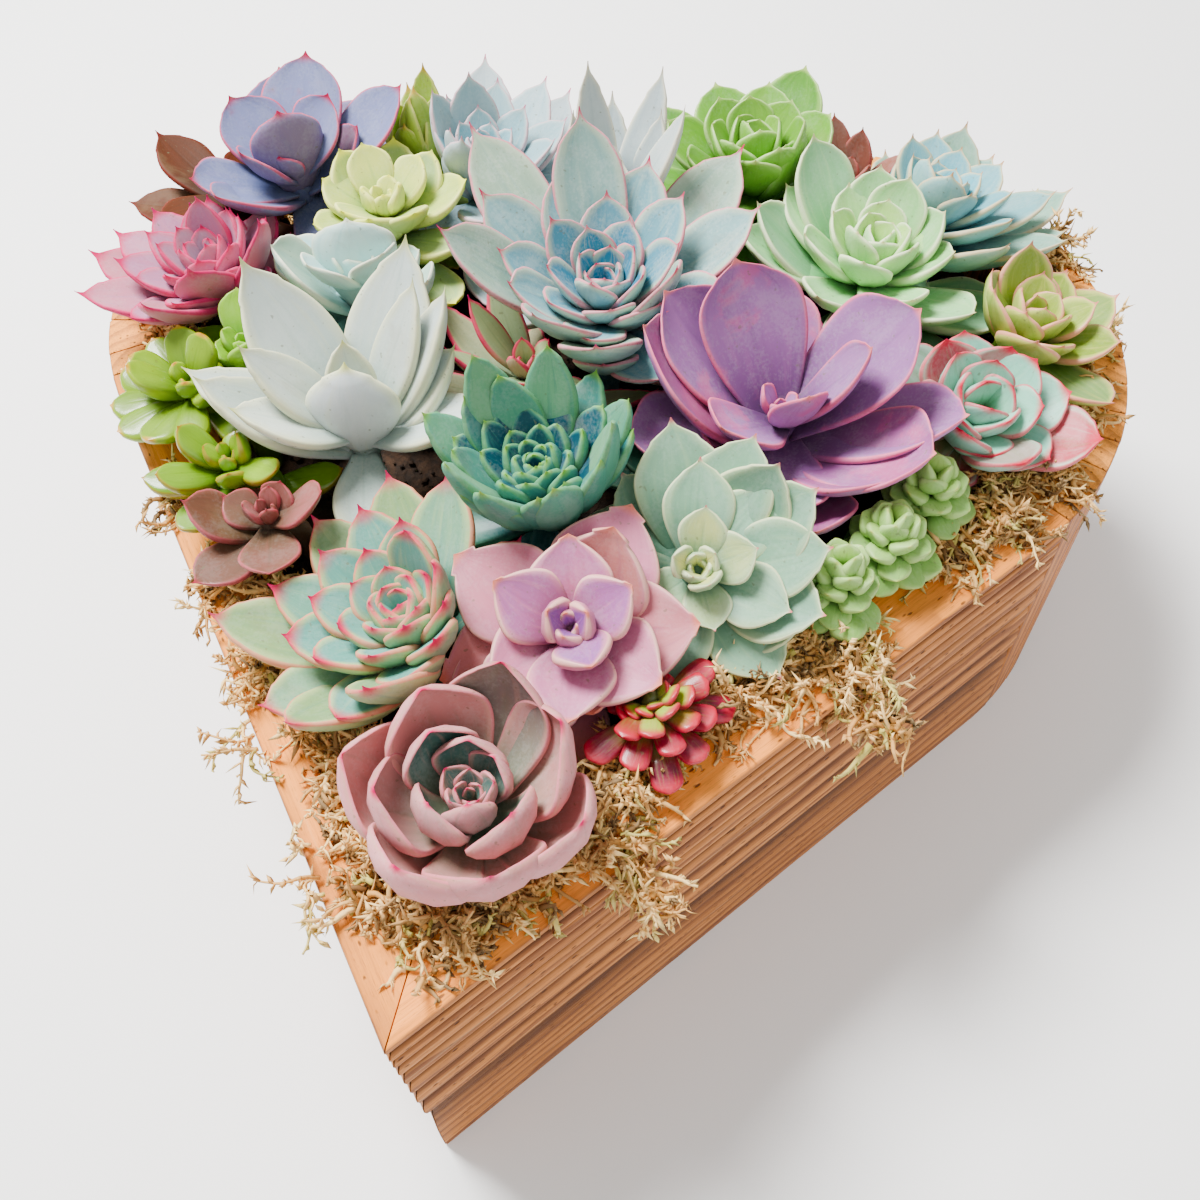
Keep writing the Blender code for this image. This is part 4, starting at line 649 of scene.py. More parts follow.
def wood_finish(name, early, late, groove, top, ring, seed):
    """Softwood by its growth rings, as cylinders round a trunk's axis that lies off the piece; its paler top
    is partly painted light from above and its darker grooves are partly painted shade.
    """
    paint = Paint(name, IOR=1.45, Specular_IOR_Level=0.25)
    along, across, inwards = paint.split("grain_place")
    hollow, above, tone = paint.split("grain_self")
    wide = paint.join(along * 0.012, across * 0.05, inwards * 0.05 + tone * 9.0 + seed)
    wander = paint.noise(wide, 1.0, 3.0, 0.55)
    streak = paint.noise(paint.join(along * 0.03, across * 1.3, inwards * 1.3 + tone * 7.0), 1.0, 4.0, 0.62)
    fibre = paint.noise(paint.join(along * 0.25, across * 5.0, inwards * 5.0 + seed), 1.0, 2.0, 0.6)
    stain = paint.noise(paint.join(along * 0.009, across * 0.17, inwards * 0.1 + seed), 1.0, 3.0, 0.6)
    off_axis = paint.join(0.0, across + TRUNK_ACROSS + tone * 30.0, inwards - TRUNK_DEEP + tone * 26.0)
    from_axis = paint.node("ShaderNodeVectorMath", {"operation": "LENGTH"}, {0: off_axis}, out=1)
    share = paint.node("ShaderNodeMath", {"operation": "FRACT"}, {0: from_axis / ring + wander * 2.6})
    band = paint.ease(share, 0.35, 0.9) * paint.ease(share, 1.0, 0.93)
    colour = paint.blend(band * 0.9, tint(early), tint(late))
    # Flat top in its own paler colour: partly the top's own colour, partly painted light from above.
    colour = paint.blend(above, colour, paint.blend(band * 0.45, tint(top), tint(late)))
    colour = paint.blend(paint.ease(streak, 0.45, 0.75) * (0.75 - above * 0.35), colour, tint(late))
    colour = paint.blend(paint.ease(stain, 0.46, 0.7) * (0.6 - above * 0.45), colour, tint(late))
    # Grooves darkened: partly weathering, partly painted shade in the hollows.
    colour = paint.blend(paint.ease(hollow, 0.08, 0.8) * 0.9, colour, tint(groove))
    colour = paint.blend(paint.ease(fibre, 0.55, 0.72) * 0.45, colour, tint(groove))
    pale = paint.ease(streak, 0.45, 0.25) * paint.ease(hollow, 0.3, 0.0)
    colour = paint.blend(pale * (0.34 - above * 0.22), colour, tint(WOOD_STREAK))
    pores = paint.ease(paint.cells(paint.join(along * 0.4, across * 1.1, inwards * 1.1), 0.6), 0.24, 0.12)
    patches = paint.noise(paint.join(along * 0.2, across * 0.2, inwards * 0.2 + seed), 1.0)
    chosen = paint.ease(patches, 0.46, 0.54)
    colour = paint.blend(pores * chosen * 0.85, colour, tint(WOOD_PORE))
    paint.feed("Base Color", paint.shade(colour, tone * 0.3 + 0.84))
    paint.feed("Roughness", streak * 0.2 + 0.5)
    saw = paint.noise(paint.join(along * 0.7, across * 0.05, inwards * 0.1), 1.0, 2.0)
    paint.relief(streak * 0.6 + fibre * 0.4 + saw * 0.35 - band * 0.25 - pores * chosen, 0.6, 0.35)
    return paint.material


def moss_finish(name, stops):
    """Dry moss: each strand has its own tone, from a row of stops, paler towards its ends."""
    paint = Paint(name, Specular_IOR_Level=0.15)
    tone, out = paint.split("strand_self")[:2]
    low, middle, high, green = [tint(code) for code in stops]
    colour = paint.blend(paint.ease(tone, 0.0, 0.35), low, middle)
    colour = paint.blend(paint.ease(tone, 0.35, 0.8), colour, high)
    colour = paint.blend(paint.ease(tone, 0.84, 0.95) * 0.8, colour, green)
    mottle = paint.noise(paint.place(), 500.0, 3.0)
    colour = paint.blend(paint.ease(mottle, 0.5, 0.75) * 0.4, colour, low)
    colour = paint.blend(out * 0.22, colour, tint(MOSS_ENDS))
    paint.feed("Base Color", colour)
    paint.feed("Roughness", mottle * 0.2 + 0.7)
    paint.relief(mottle, 0.4, 0.15)
    return paint.material


def soil_finish(name):
    """Damp potting soil, dark, with browner crumbs."""
    paint = Paint(name, Specular_IOR_Level=0.2)
    where = paint.place()
    crumbs = paint.cells(where, 420.0)
    mottle = paint.noise(where, 260.0, 5.0, 0.65)
    colour = paint.blend(paint.ease(mottle, 0.35, 0.7), tint("#1d140d"), tint("#3f2b1c"))
    colour = paint.blend(paint.ease(mottle, 0.66, 0.74) * 0.6, colour, tint("#7a5a3a"))
    paint.feed("Base Color", colour)
    paint.feed("Roughness", mottle * 0.25 + 0.7)
    paint.relief(mottle + crumbs * 0.8, 0.9, 0.9)
    return paint.material


def floor_finish():
    """Matt, nearly white floor."""
    paint = Paint("pale_floor", Roughness=0.7, Specular_IOR_Level=0.2)
    grain = paint.noise(paint.place(), 30.0, 2.0)
    paint.feed("Base Color", paint.blend(grain * 0.1, tint("#fbfaf8"), tint("#f2f1ee")))
    return paint.material


# Pieces

@dataclass
class Form:
    """Points, faces and per-point numbers of a piece, gathered shell by shell."""
    points: list = field(default_factory=list)
    faces: list = field(default_factory=list)
    numbers: dict = field(default_factory=dict)
    count: int = 0

    def add(self, points, faces, **numbers):
        """Add a shell whose faces count from its own first point, with its numbers for the finish."""
        points = np.asarray(points, float).reshape(-1, 3)
        self.points.append(points)
        self.faces.extend([tuple(int(i) + self.count for i in face) for face in faces])
        self.count += len(points)
        for key, value in numbers.items():
            row = np.broadcast_to(np.asarray(value, float), (len(points), 3))
            self.numbers.setdefault(key, []).append(row)

    def piece(self, name, material, slot, *nodes, sharp=None):
        """The finished piece, riding on the root body and standing for those nodes."""
        mesh = bpy.data.meshes.new(name)
        mesh.from_pydata(np.vstack(self.points) * MM, [], self.faces)
        body = bmesh.new()
        body.from_mesh(mesh)
        bmesh.ops.recalc_face_normals(body, faces=body.faces)
        body.to_mesh(mesh)
        body.free()
        for key, rows in self.numbers.items():
            layer = mesh.attributes.new(key, "FLOAT_VECTOR", "POINT")
            layer.data.foreach_set("vector", np.vstack(rows).astype(np.float32).ravel())
        mesh.polygons.foreach_set("use_smooth", [True] * len(mesh.polygons))
        if sharp:
            mesh.set_sharp_from_angle(angle=radians(sharp))
        mesh.materials.append(material)
        thing = bpy.data.objects.new(name, mesh)
        bpy.context.scene.collection.objects.link(thing)
        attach(thing, "root")
        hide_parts(*nodes)
        return thing


def unit(vector):
    """The vector's direction, one long."""
    return vector / np.linalg.norm(vector)


def ring_faces(rings, sides, closed_end=True):
    """Faces of a tube of rings, with a flat cap at its start and, where closed, at its end."""
    faces = []
    for r in range(rings - 1):
        for i in range(sides):
            j = (i + 1) % sides
            faces.append((r * sides + i, r * sides + j, (r + 1) * sides + j, (r + 1) * sides + i))
    faces.append(tuple(range(sides))[::-1])
    if closed_end:
        faces.append(tuple((rings - 1) * sides + i for i in range(sides)))
    return faces


# Heart outline

def tip_y(inset):
    """Y of the heart's tip, for the outline moved in by inset."""
    return LOBE_Y - (LOBE_RADIUS - inset + LOBE_X * cos(TIP_HALF_ANGLE)) / sin(TIP_HALF_ANGLE)


def side_normal():
    """Outward direction of the straight right-hand side."""
    return np.array([cos(TIP_HALF_ANGLE), -sin(TIP_HALF_ANGLE)])


def side_direction():
    """Direction up the straight right-hand side, away from the tip."""
    return np.array([sin(TIP_HALF_ANGLE), cos(TIP_HALF_ANGLE)])


def lobe_point(angle, inset):
    """A point of the right-hand lobe, for the outline moved in by inset."""
    radius = LOBE_RADIUS - inset
    return np.array([LOBE_X + radius * cos(angle), LOBE_Y + radius * sin(angle)])


def middle_angle(inset):
    """Direction from the right-hand lobe's centre to where its outline meets the middle plane."""
    return pi - acos((LOBE_X - GAP / 2) / (LOBE_RADIUS - inset))


def side_length(inset=WALL):
    """Length of the outline, moved in by inset, from the tip to where the lobe begins."""
    return hypot(*(lobe_point(-TIP_HALF_ANGLE, inset) - [0, tip_y(inset)]))


def beyond_inner_edge(x, y):
    """How far a point lies outside the wall's inner face; negative inside the box."""
    point = np.array([abs(x), y])
    along = (point - [0, tip_y(WALL)]) @ side_direction()
    if y > LOBE_Y or along > side_length():
        return hypot(*(point - [LOBE_X, LOBE_Y])) - (LOBE_RADIUS - WALL)
    return (point - [0, tip_y(WALL)]) @ side_normal()


def round_inner_edge(distance, inset, side):
    """A point on the outline moved in by inset, that far round the wall's inner edge from the tip."""
    if distance < side_length():
        point = np.array([0, tip_y(WALL)]) + distance * side_direction() + side_normal() * (WALL - inset)
    else:
        point = lobe_point(-TIP_HALF_ANGLE + (distance - side_length()) / (LOBE_RADIUS - WALL), inset)
    return np.array([side * point[0], point[1]])


# Wooden box

def ridge(low, high, start=0.0, end=1.0):
    """Points up a rounded ridge, or part of one, as inset, height and how deep in the groove they lie."""
    points = []
    for i in range(1, FLUTE_POINTS):
        share = i / FLUTE_POINTS
        hollow = 1 - sin(pi * (start + (end - start) * share)) ** FLUTE_BLUNT
        points.append((FLUTE_DEPTH * hollow, low + (high - low) * share, hollow))
    return points


def fluted_section():
    """Outer face of a board from the base up, its top and its inner face."""
    grooves = [RIM * (1 - share) for share in FLUTES[::-1]]
    section = [(CORNER, 0.0, 0.0), (0.0, CORNER, 0.0)] + ridge(CORNER, grooves[0], start=0.5)
    for low, high in zip(grooves, grooves[1:]):
        section += [(FLUTE_DEPTH, low, 1.0)] + ridge(low, high)
    section += [(FLUTE_DEPTH, grooves[-1], 1.0)] + ridge(grooves[-1], RIM - CORNER, end=0.5)
    section += [(CORNER * 0.3, RIM - CORNER * 0.3, 0.0), (CORNER, RIM, 0.0)]
    section += [(inset, RIM, 0.0) for inset in BOARD_TOP]
    section += [(WALL - CORNER, RIM, 0.0), (WALL, RIM - CORNER, 0.0)]
    return section + [(WALL, height, 0.0) for height in (BOARD_WAIST, 0.0)]


def build_board(word, side, material):
    """A straight side with its weathered flutes, which grow shallower where the lobe begins."""
    form = Form()
    section = fluted_section()
    start = np.array([0, tip_y(0)])
    bend = side_length(0)
    arc = LOBE_RADIUS * (BOARD_END + TIP_HALF_ANGLE)
    rows, places, selves = [], [], []
    for step in range(BOARD_STEPS + 1):
        along = (bend + arc) * step / BOARD_STEPS
        depth = 1 - 0.5 * max(0.0, along - bend) / arc
        for inset, height, hollow in section:
            sway = sum(size * sin(along * onward + height * upward) for size, onward, upward in FLUTE_SWAYS)
            lower = sway * 4 * hollow * (1 - hollow)
            cut = max(0.0, inset * depth + lower * 0.5) if hollow else inset
            if along <= bend:
                first = (GAP / 2 + cut * cos(TIP_HALF_ANGLE)) / sin(TIP_HALF_ANGLE)
                run = first + (bend - first) * along / bend
                point = start + side_direction() * run - side_normal() * cut
            else:
                run = along
                point = lobe_point(-TIP_HALF_ANGLE + (along - bend) / LOBE_RADIUS, cut)
            rows.append((side * point[0], point[1], height + lower))
            places.append((run, height, inset))
            selves.append((hollow * depth, 1.0 if height >= RIM else 0.0, 0.5 + 0.3 * side))
    form.add(rows, ring_faces(BOARD_STEPS + 1, len(section)), grain_place=places, grain_self=selves)
    return form.piece(f"fluted_board_{word}", material, "wood_board", f"board_{word}", sharp=50)


def stave_shell(form, outer, inner, side, tone, sunk):
    """One narrow upright stave between two directions at the outer and two at the inner face."""
    slack = JOINT / 2 / LOBE_RADIUS
    turn = STAVE_BEVEL / LOBE_RADIUS
    corners = []
    for (low, high), inset, inwards in ((outer, sunk, 1), (inner, WALL - sunk, -1)):
        low, high = low + slack, high - slack
        run = [(low, inset + inwards * STAVE_BEVEL), (low + turn, inset)]
        run += [(low + (high - low) * share, inset) for share in (0.33, 0.67)]
        run += [(high - turn, inset), (high, inset + inwards * STAVE_BEVEL)]
        corners += run[::inwards]
    middle = np.mean([lobe_point(angle, inset) for angle, inset in corners], axis=0)
    straight = [(height, 0.0) for height in (STAVE_BEVEL, *STAVE_LEVELS, RIM - STAVE_BEVEL)]
    levels = [(0.0, STAVE_BEVEL), *straight, (RIM, STAVE_BEVEL)]
    rows, places, selves = [], [], []
    for height, shrink in levels:
        for angle, inset in corners:
            point = lobe_point(angle, inset)
            point = point + unit(middle - point) * shrink
            rows.append((side * point[0], point[1], height))
            places.append((height, (angle - outer[0]) * LOBE_RADIUS, inset))
            selves.append((0.0, 1.0 if height == RIM else 0.0, tone))
    form.add(rows, ring_faces(len(levels), len(corners)), grain_place=places, grain_self=selves)


def build_staves(word, side, number, material):
    """A block of narrow staves glued side by side, each a little out of line with the next."""
    form = Form()
    seam = GAP / LOBE_RADIUS
    span = (middle_angle(0) - BOARD_END) / STAVE_BLOCKS
    first = BOARD_END + span * number + seam
    last = first + span - seam
    ends = (middle_angle(0), middle_angle(WALL)) if number == STAVE_BLOCKS - 1 else (last, last)
    leans = [radians(random.uniform(-STAVE_SLANT, STAVE_SLANT)) for _ in range(STAVES_A_BLOCK - 1)]
    cuts = []
    for k, slant in enumerate([0.0, *leans, 0.0]):
        share = k / STAVES_A_BLOCK
        cuts.append((first + (ends[0] - first) * share + slant, first + (ends[1] - first) * share - slant))
    for low, high in zip(cuts, cuts[1:]):
        tone, sunk = random.random(), random.uniform(0.0, STAVE_SUNK)
        stave_shell(form, (low[0], high[0]), (low[1], high[1]), side, tone, sunk)
    block = f"{word}_{number + 1}"
    return form.piece("stave_block_" + block, material, "wood_stave", "stave_" + block, sharp=30)


# Plants

def axes_of(plant):
    """The rosette's axis, and two directions square to it, the second as near +Y as can be."""
    lean, towards = radians(plant.lean[0]), radians(plant.lean[1])
    axis = np.array([sin(lean) * sin(towards), sin(lean) * cos(towards), cos(lean)])
    across = unit(np.cross([0.0, 1.0, 0.0], axis))
    return axis, across, np.cross(axis, across)


def growing_point(plant):
    """The middle of the rosette, where its youngest leaves start."""
    return np.array([plant.head[0], plant.head[1], RIM + plant.head[2]]) - axes_of(plant)[0] * plant.sink


def outline_share(plant, along):
    """Half width along a leaf, as a share of its widest, with the end drawn out into a point."""
    blunt = np.minimum(1.0, along / (1 - plant.acute * 0.55))
    rising = plant.base + (1 - plant.base) * np.sin(pi / 2 * np.minimum(1, blunt / plant.peak)) ** 1.2
    over = np.clip((blunt - plant.peak) / (1 - plant.peak), 0, 1)
    body = np.where(blunt < plant.peak, rising, (1 - over ** plant.point) ** 0.87)
    point = np.where(along > 1 - plant.acute * 1.6, np.clip(0.17 * (1 - along) / plant.acute, 0, 0.27), 0)
    return np.hypot(body, point)


def stem_bend(plant):
    """The stem's foot on the soil, its elbow just over the rim, and the crown where the leaves begin."""
    crown = growing_point(plant) - axes_of(plant)[0] * plant.drop[0]
    foot = np.array([*(plant.foot or plant.head[:2]), SOIL_TOP])
    elbow = foot + (crown - foot) * ELBOW_ALONG
    elbow[2] = max(elbow[2], min(RIM + ELBOW_RISE, crown[2]))
    return foot, elbow, crown


def leaf_root(plant, leaf):
    """Where a leaf starts, and its directions outwards, sideways and along the rosette's axis."""
    axis, across, ahead = axes_of(plant)
    turn = radians(leaf.azimuth)
    out = across * sin(turn) + ahead * cos(turn)
    drop = plant.drop[0] + (plant.drop[1] - plant.drop[0]) * leaf.age
    reach = ROOT_REACH[0] + (ROOT_REACH[1] - ROOT_REACH[0]) * leaf.age
    root = growing_point(plant) - axis * drop + out * reach
    if leaf.lower:
        foot, _, crown = stem_bend(plant)
        root = root + (foot - crown) * min(0.8, leaf.lower / np.linalg.norm(foot - crown))
    return root, out, np.cross(out, axis), axis


def leaf_line(plant, leaf, along):
    """Points and slopes along a leaf's own curve, which turns evenly and hooks up at the tip."""
    root, out, side, axis = leaf_root(plant, leaf)
    steps = np.linspace(0, 1, LINE_STEPS + 1)
    slopes = radians(leaf.rise) + radians(leaf.curl) * (steps - 0.5)
    slopes = slopes + radians(plant.hook) * np.clip(steps * 5 - 4, 0, 1) ** 2
    halfway = (slopes[1:] + slopes[:-1]) / 2
    run = np.concatenate([[0], np.cumsum(np.cos(halfway))]) * leaf.length / LINE_STEPS
    climb = np.concatenate([[0], np.cumsum(np.sin(halfway))]) * leaf.length / LINE_STEPS
    centre = root + np.outer(np.interp(along, steps, run), out)
    centre = centre + np.outer(np.interp(along, steps, climb), axis)
    bend = np.outer(leaf.sway * leaf.length * along ** 2, side)
    return centre + bend, np.interp(along, steps, slopes)


def leaf_rings(plant, leaf, rings, sides):
    """Rings of points round a leaf, with their places along, across and through it, and its half widths."""
    along = 1 - (1 - np.arange(rings) / (rings - 0.6)) ** 1.45
    centre, slope = leaf_line(plant, leaf, along)
    out, side, axis = leaf_root(plant, leaf)[1:]
    normal = np.outer(np.cos(slope), axis) - np.outer(np.sin(slope), out)
    turn = (leaf.twist * along)[:, None]
    across = side * np.cos(turn) + normal * np.sin(turn)
    normal = normal * np.cos(turn) - side * np.sin(turn)
    full = leaf.width / 2
    half = np.maximum(THINNEST, full * outline_share(plant, along))
    thick = (plant.thick[0] + (plant.thick[1] - plant.thick[0]) * leaf.age) / 2
    thick = thick * min(1.0, leaf.length / 16 + 0.3)
    depth = thick * (0.6 + 0.4 * np.sin(pi * np.minimum(1, along * 1.15))) * (1 - 0.6 * along ** 4)
    narrowing = np.where(along > plant.peak, np.minimum(1.0, (half / full / 0.55) ** 0.6), 1.0)
    depth = np.minimum(depth, half * 0.9) * narrowing
    angle = np.linspace(0, 2 * pi, sides, endpoint=False)
    u = np.sign(np.cos(angle)) * np.abs(np.cos(angle)) ** ROUNDNESS
    v = np.sign(np.sin(angle)) * np.abs(np.sin(angle)) ** ROUNDNESS
    through = depth[:, None] * v * np.where(v > 0, TOP_FULLNESS, 1.0 + plant.keel * (1 - np.abs(u)))
    roll = radians(max(1.0, plant.roll))
    sideways = half[:, None] * np.sin(u * roll) / roll - through * np.sin(u * roll)
    upwards = half[:, None] * (1 - np.cos(u * roll)) / roll + through * np.cos(u * roll)
    points = centre[:, None] + sideways[:, :, None] * across[:, None]
    return points + upwards[:, :, None] * normal[:, None], along, u, v, half


def heart_leaves(plant):
    """Small unopened leaves round the growing point of a plant whose leaves were placed one by one."""
    count, length = plant.heart
    last = plant.leaves[-1]
    widest = last.width or plant.wide[1]
    narrow = max(0.62, widest / last.length)
    leaves = []
    for k in range(count):
        share = (k + 1) / count
        size = length * (1 - HEART_SHORTER * share)
        rise = HEART_RISE[0] + HEART_RISE[1] * share
        leaves.append(Leaf(last.azimuth + GOLDEN_ANGLE * (k + 1), rise, size, 1.0,
                           min(size * narrow, widest), 16.0, 0.74 + 0.26 * share))
    return leaves


def skirt_leaves(plant):
    """Old leaves low on the stem, which fill the room between neighbours."""
    oldest = plant.leaves[0]
    longest = max(leaf.length for leaf in plant.leaves)
    widest = max(leaf.width or plant.wide[0] for leaf in plant.leaves)
    leaves = []
    for k in range(plant.skirt):
        tier = (k + 1) / plant.skirt
        rise = SKIRT_RISE[0] - SKIRT_RISE[1] * tier
        leaves.append(Leaf(oldest.azimuth - GOLDEN_ANGLE * (k + 1), rise, longest * SKIRT_SIZE, 0.0,
                           widest * SKIRT_SIZE, 30.0, 0.0, 1 + SKIRT_DROP * tier))
    return leaves


def vary(plant, leaf):
    """Give a leaf its width, and small natural differences."""
    leaf.width = leaf.width or plant.wide[0] + (plant.wide[1] - plant.wide[0]) * leaf.age
    leaf.azimuth += random.normal(0, 2.5)
    leaf.rise += random.normal(0, 2.0)
    leaf.length *= random.normal(1, 0.035)
    leaf.sway = random.normal(0, 0.02)
    leaf.twist = radians(random.normal(0, 5))
    leaf.tone = random.uniform(0.92, 1.06)


class Room:
    """Small cubes over the soil, each free, or taken by the box or by one plant."""

    def __init__(self):
        counts = ((ROOM_HIGH - ROOM_LOW) / CUBE).astype(int)
        self.taken = np.zeros(counts, dtype=np.int16)
        for i in range(counts[0]):
            for j in range(counts[1]):
                x, y = ROOM_LOW[:2] + (np.array([i, j]) + 0.5) * CUBE
                self.taken[i, j, :ceil((ground(x, y) - ROOM_LOW[2]) / CUBE)] = BOX_TAKES

    def cubes(self, points):
        """Which cubes the points lie in."""
        return tuple(((points - ROOM_LOW) / CUBE).astype(int).T)

    def clear(self, plant_number, points):
        """Whether no other plant, nor the box, holds a cube that a point lies in."""
        if (points < ROOM_LOW).any() or (points >= ROOM_HIGH).any():
            return False
        held = self.taken[self.cubes(points)]
        return not ((held != 0) & (held != plant_number)).any()

    def take(self, plant_number, points):
        """Give a plant the cubes that the points lie in."""
        self.taken[self.cubes(points)] = plant_number


def ground(x, y):
    """Lowest height a leaf may reach there; past the wall it may hang a little below the rim."""
    out = beyond_inner_edge(x, y)
    if out < -1:
        return SOIL_TOP + OVER_GROUND
    return RIM - OVERHANG if out > WALL + OVER_GROUND else RIM + OVER_GROUND


def settle(room, plant_number, plant, leaf):
    """Shorten or tilt a leaf until nothing is in its way; gives whether it found a place."""
    rise, length, width = leaf.rise, leaf.length, leaf.width
    for trim in TRIMS:
        for tilt in TILTS:
            leaf.rise, leaf.length, leaf.width = rise + tilt, length * trim, width * trim ** 0.5
            points = leaf_rings(plant, leaf, TRIAL_RINGS, TRIAL_SIDES)[0].reshape(-1, 3)
            if room.clear(plant_number, points):
                room.take(plant_number, points)
                return True
    return False


def by_point(*layers):
    """Three layers of numbers over a leaf, as one row for each point."""
    return np.stack(layers, axis=2).reshape(-1, 3)


def add_leaf(form, plant, leaf):
    """One fleshy leaf as a closed shell, with its numbers for the finish."""
    rings, sides = next(fine[1:] for fine in FINENESS if leaf.length < fine[0])
    points, along, u, v, half = leaf_rings(plant, leaf, rings, sides)
    end = leaf_line(plant, leaf, np.array([1.0]))[0]
    faces = ring_faces(rings, sides, closed_end=False)
    last = (rings - 1) * sides
    faces += [(last + i, last + (i + 1) % sides, rings * sides) for i in range(sides)]
    flat = np.ones((rings, sides))
    places = by_point(flat * along[:, None], flat * u, flat * v)
    from_tip = leaf.length * (1 - along[:, None]) * max(1.0, LARGE_LEAF / leaf.length)
    reaches = by_point(half[:, None] * (1 - np.abs(u)), flat * from_tip, flat * leaf.tone)
    form.add(np.vstack([points.reshape(-1, 3), end]), faces, leaf_place=np.vstack([places, [1.0, 0.0, 1.0]]),
             leaf_reach=np.vstack([reaches, [0.0, 0.0, leaf.tone]]),
             leaf_self=(leaf.youth, random.random(), random.random()))


def ring_about(centre, facing, radius, sides):
    """Points round a centre, in the plane square to facing."""
    across = unit(np.cross([0.0, 1.0, 0.0], facing))
    ahead = np.cross(facing, across)
    turns = np.linspace(0, 2 * pi, sides, endpoint=False)
    return centre + radius * (np.outer(np.sin(turns), across) + np.outer(np.cos(turns), ahead))


def stem_rings(plant):
    """Rings up a stem, from its hole in the soil to the crown that the leaves grow from."""
    axis = axes_of(plant)[0]
    head = growing_point(plant)
    foot, elbow, crown = stem_bend(plant)
    facing = unit(unit(elbow - foot) + unit(crown - elbow)) if plant.foot else UP
    arrive = unit(unit(crown - elbow) + axis) if plant.foot else axis
    slim = STEM_RADIUS * STEM_TAPER
    low, middle, top = [plant.core * share for share in CROWN_SHARES]
    return [ring_about(foot - UP * (HOLE_DEPTH - GAP), UP, slim, STEM_SIDES),
            ring_about(foot + UP * 0.5, UP, slim, STEM_SIDES),
            ring_about(elbow, facing, slim, STEM_SIDES),
            ring_about(crown, arrive, low, STEM_SIDES),
            ring_about((crown + head) / 2, axis, middle, STEM_SIDES),
            ring_about(head, axis, top, STEM_SIDES)]


def take_stem(room, plant_number, plant):
    """Keep other plants' leaves out of a stem and crown."""
    rings = stem_rings(plant)[1:]
    for low, high in zip(rings, rings[1:]):
        for share in np.linspace(0, 1, 9):
            points = low + (high - low) * share
            inside = np.all((points >= ROOM_LOW) & (points < ROOM_HIGH), axis=1)
            room.take(plant_number, points[inside])


def grow_plants():
    """Every leaf finds its place, the youngest first, so that neighbours mingle without crossing."""
    room = Room()
    queue = []
    for number, plant in enumerate(PLANTS, 1):
        take_stem(room, number, plant)
        leaves = plant.leaves + heart_leaves(plant) + skirt_leaves(plant)
        plant.leaves = []
        for leaf in leaves:
            vary(plant, leaf)
            queue.append((leaf.lower - leaf.youth - plant.early, len(queue), number, plant, leaf))
    for *_, number, plant, leaf in sorted(queue, key=lambda row: row[:2]):
        if settle(room, number, plant, leaf):
            plant.leaves.append(leaf)


def build_plant(plant):
    """A whole plant as one piece: stem and every leaf."""
    form = Form()
    rings = stem_rings(plant)
    form.add(np.vstack(rings), ring_faces(len(rings), STEM_SIDES), leaf_place=(0.1, 0.0, 0.0),
             leaf_reach=(9.0, 40.0, 0.8), leaf_self=(0.3, 0.5, 0.5))
    for leaf in plant.leaves:
        add_leaf(form, plant, leaf)
    return form.piece(plant.name + "_plant", leaf_finish(plant), plant.slot, plant.name)


# Soil

def soil_outline(points):
    """The inner outline of the box, a little inside the wall, evenly round from the tip."""
    inset = WALL + GAP
    straight = side_length(inset)
    total = straight + (LOBE_RADIUS - inset) * (middle_angle(inset) + TIP_HALF_ANGLE)
    right = []
    for i in range(points):
        distance = total * i / points
        if distance < straight:
            right.append(np.array([0, tip_y(inset)]) + side_direction() * distance)
        else:
            right.append(lobe_point(-TIP_HALF_ANGLE + (distance - straight) / (LOBE_RADIUS - inset), inset))
    notch = np.array([0.0, lobe_point(middle_angle(inset), inset)[1]])
    left = [np.array([-p[0], p[1]]) for p in right[:0:-1]]
    return np.array(right + [notch] + left)


def build_soil(material):
    """The soil filling with an uneven surface and crumbs on it."""
    form = Form()
    outline = soil_outline(SOIL_POINTS)
    sides = len(outline)
    rows = [np.column_stack([outline, np.full(sides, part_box("soil")[0].z / MM)])]
    rows.append(np.column_stack([outline, np.full(sides, SOIL_TOP - 0.6)]))
    for r in range(1, SOIL_RINGS):
        flat = SOIL_MIDDLE + (outline - SOIL_MIDDLE) * (1 - r / SOIL_RINGS)
        flat = flat + random.normal(0, 0.5, outline.shape)
        rows.append(np.column_stack([flat, SOIL_TOP - 0.4 + random.normal(0, 0.55, sides).clip(-1.0, 0.9)]))
    form.add(np.vstack(rows), ring_faces(SOIL_RINGS + 1, sides))
    spots = []
    while len(spots) < CRUMBS:
        x, y = random.uniform(-112, 112), random.uniform(-100, 120)
        if beyond_inner_edge(x, y) < -2.5:
            spots.append((x, y, SOIL_TOP + random.uniform(-0.2, 0.5)))
    add_lumps(form, np.array(spots), random.uniform(*CRUMB_SIZES, len(spots)))
    return form.piece("soil_surface", material, "soil", "soil")


def add_lumps(form, centres, sizes):
    """Small angular crumbs, each an octahedron pulled out of shape."""
    for centre, size in zip(centres, sizes):
        angle = random.uniform(0, 6.28)
        axis = Vector(random.normal(0, 1, 3))
        turned = LUMP_POINTS @ np.array(Matrix.Rotation(angle, 3, axis))
        pulled = turned * size * random.uniform(0.5, 1.1, (6, 1)) * [1, 1, 0.8]
        form.add(centre + pulled, LUMP_FACES)


# Moss

def surface(x, y):
    """Height of what moss lies on there: rim, soil or, past the rim, the floor."""
    out = beyond_inner_edge(x, y)
    if out < 0:
        return SOIL_TOP
    return RIM if out < WALL - 0.5 else 0.0


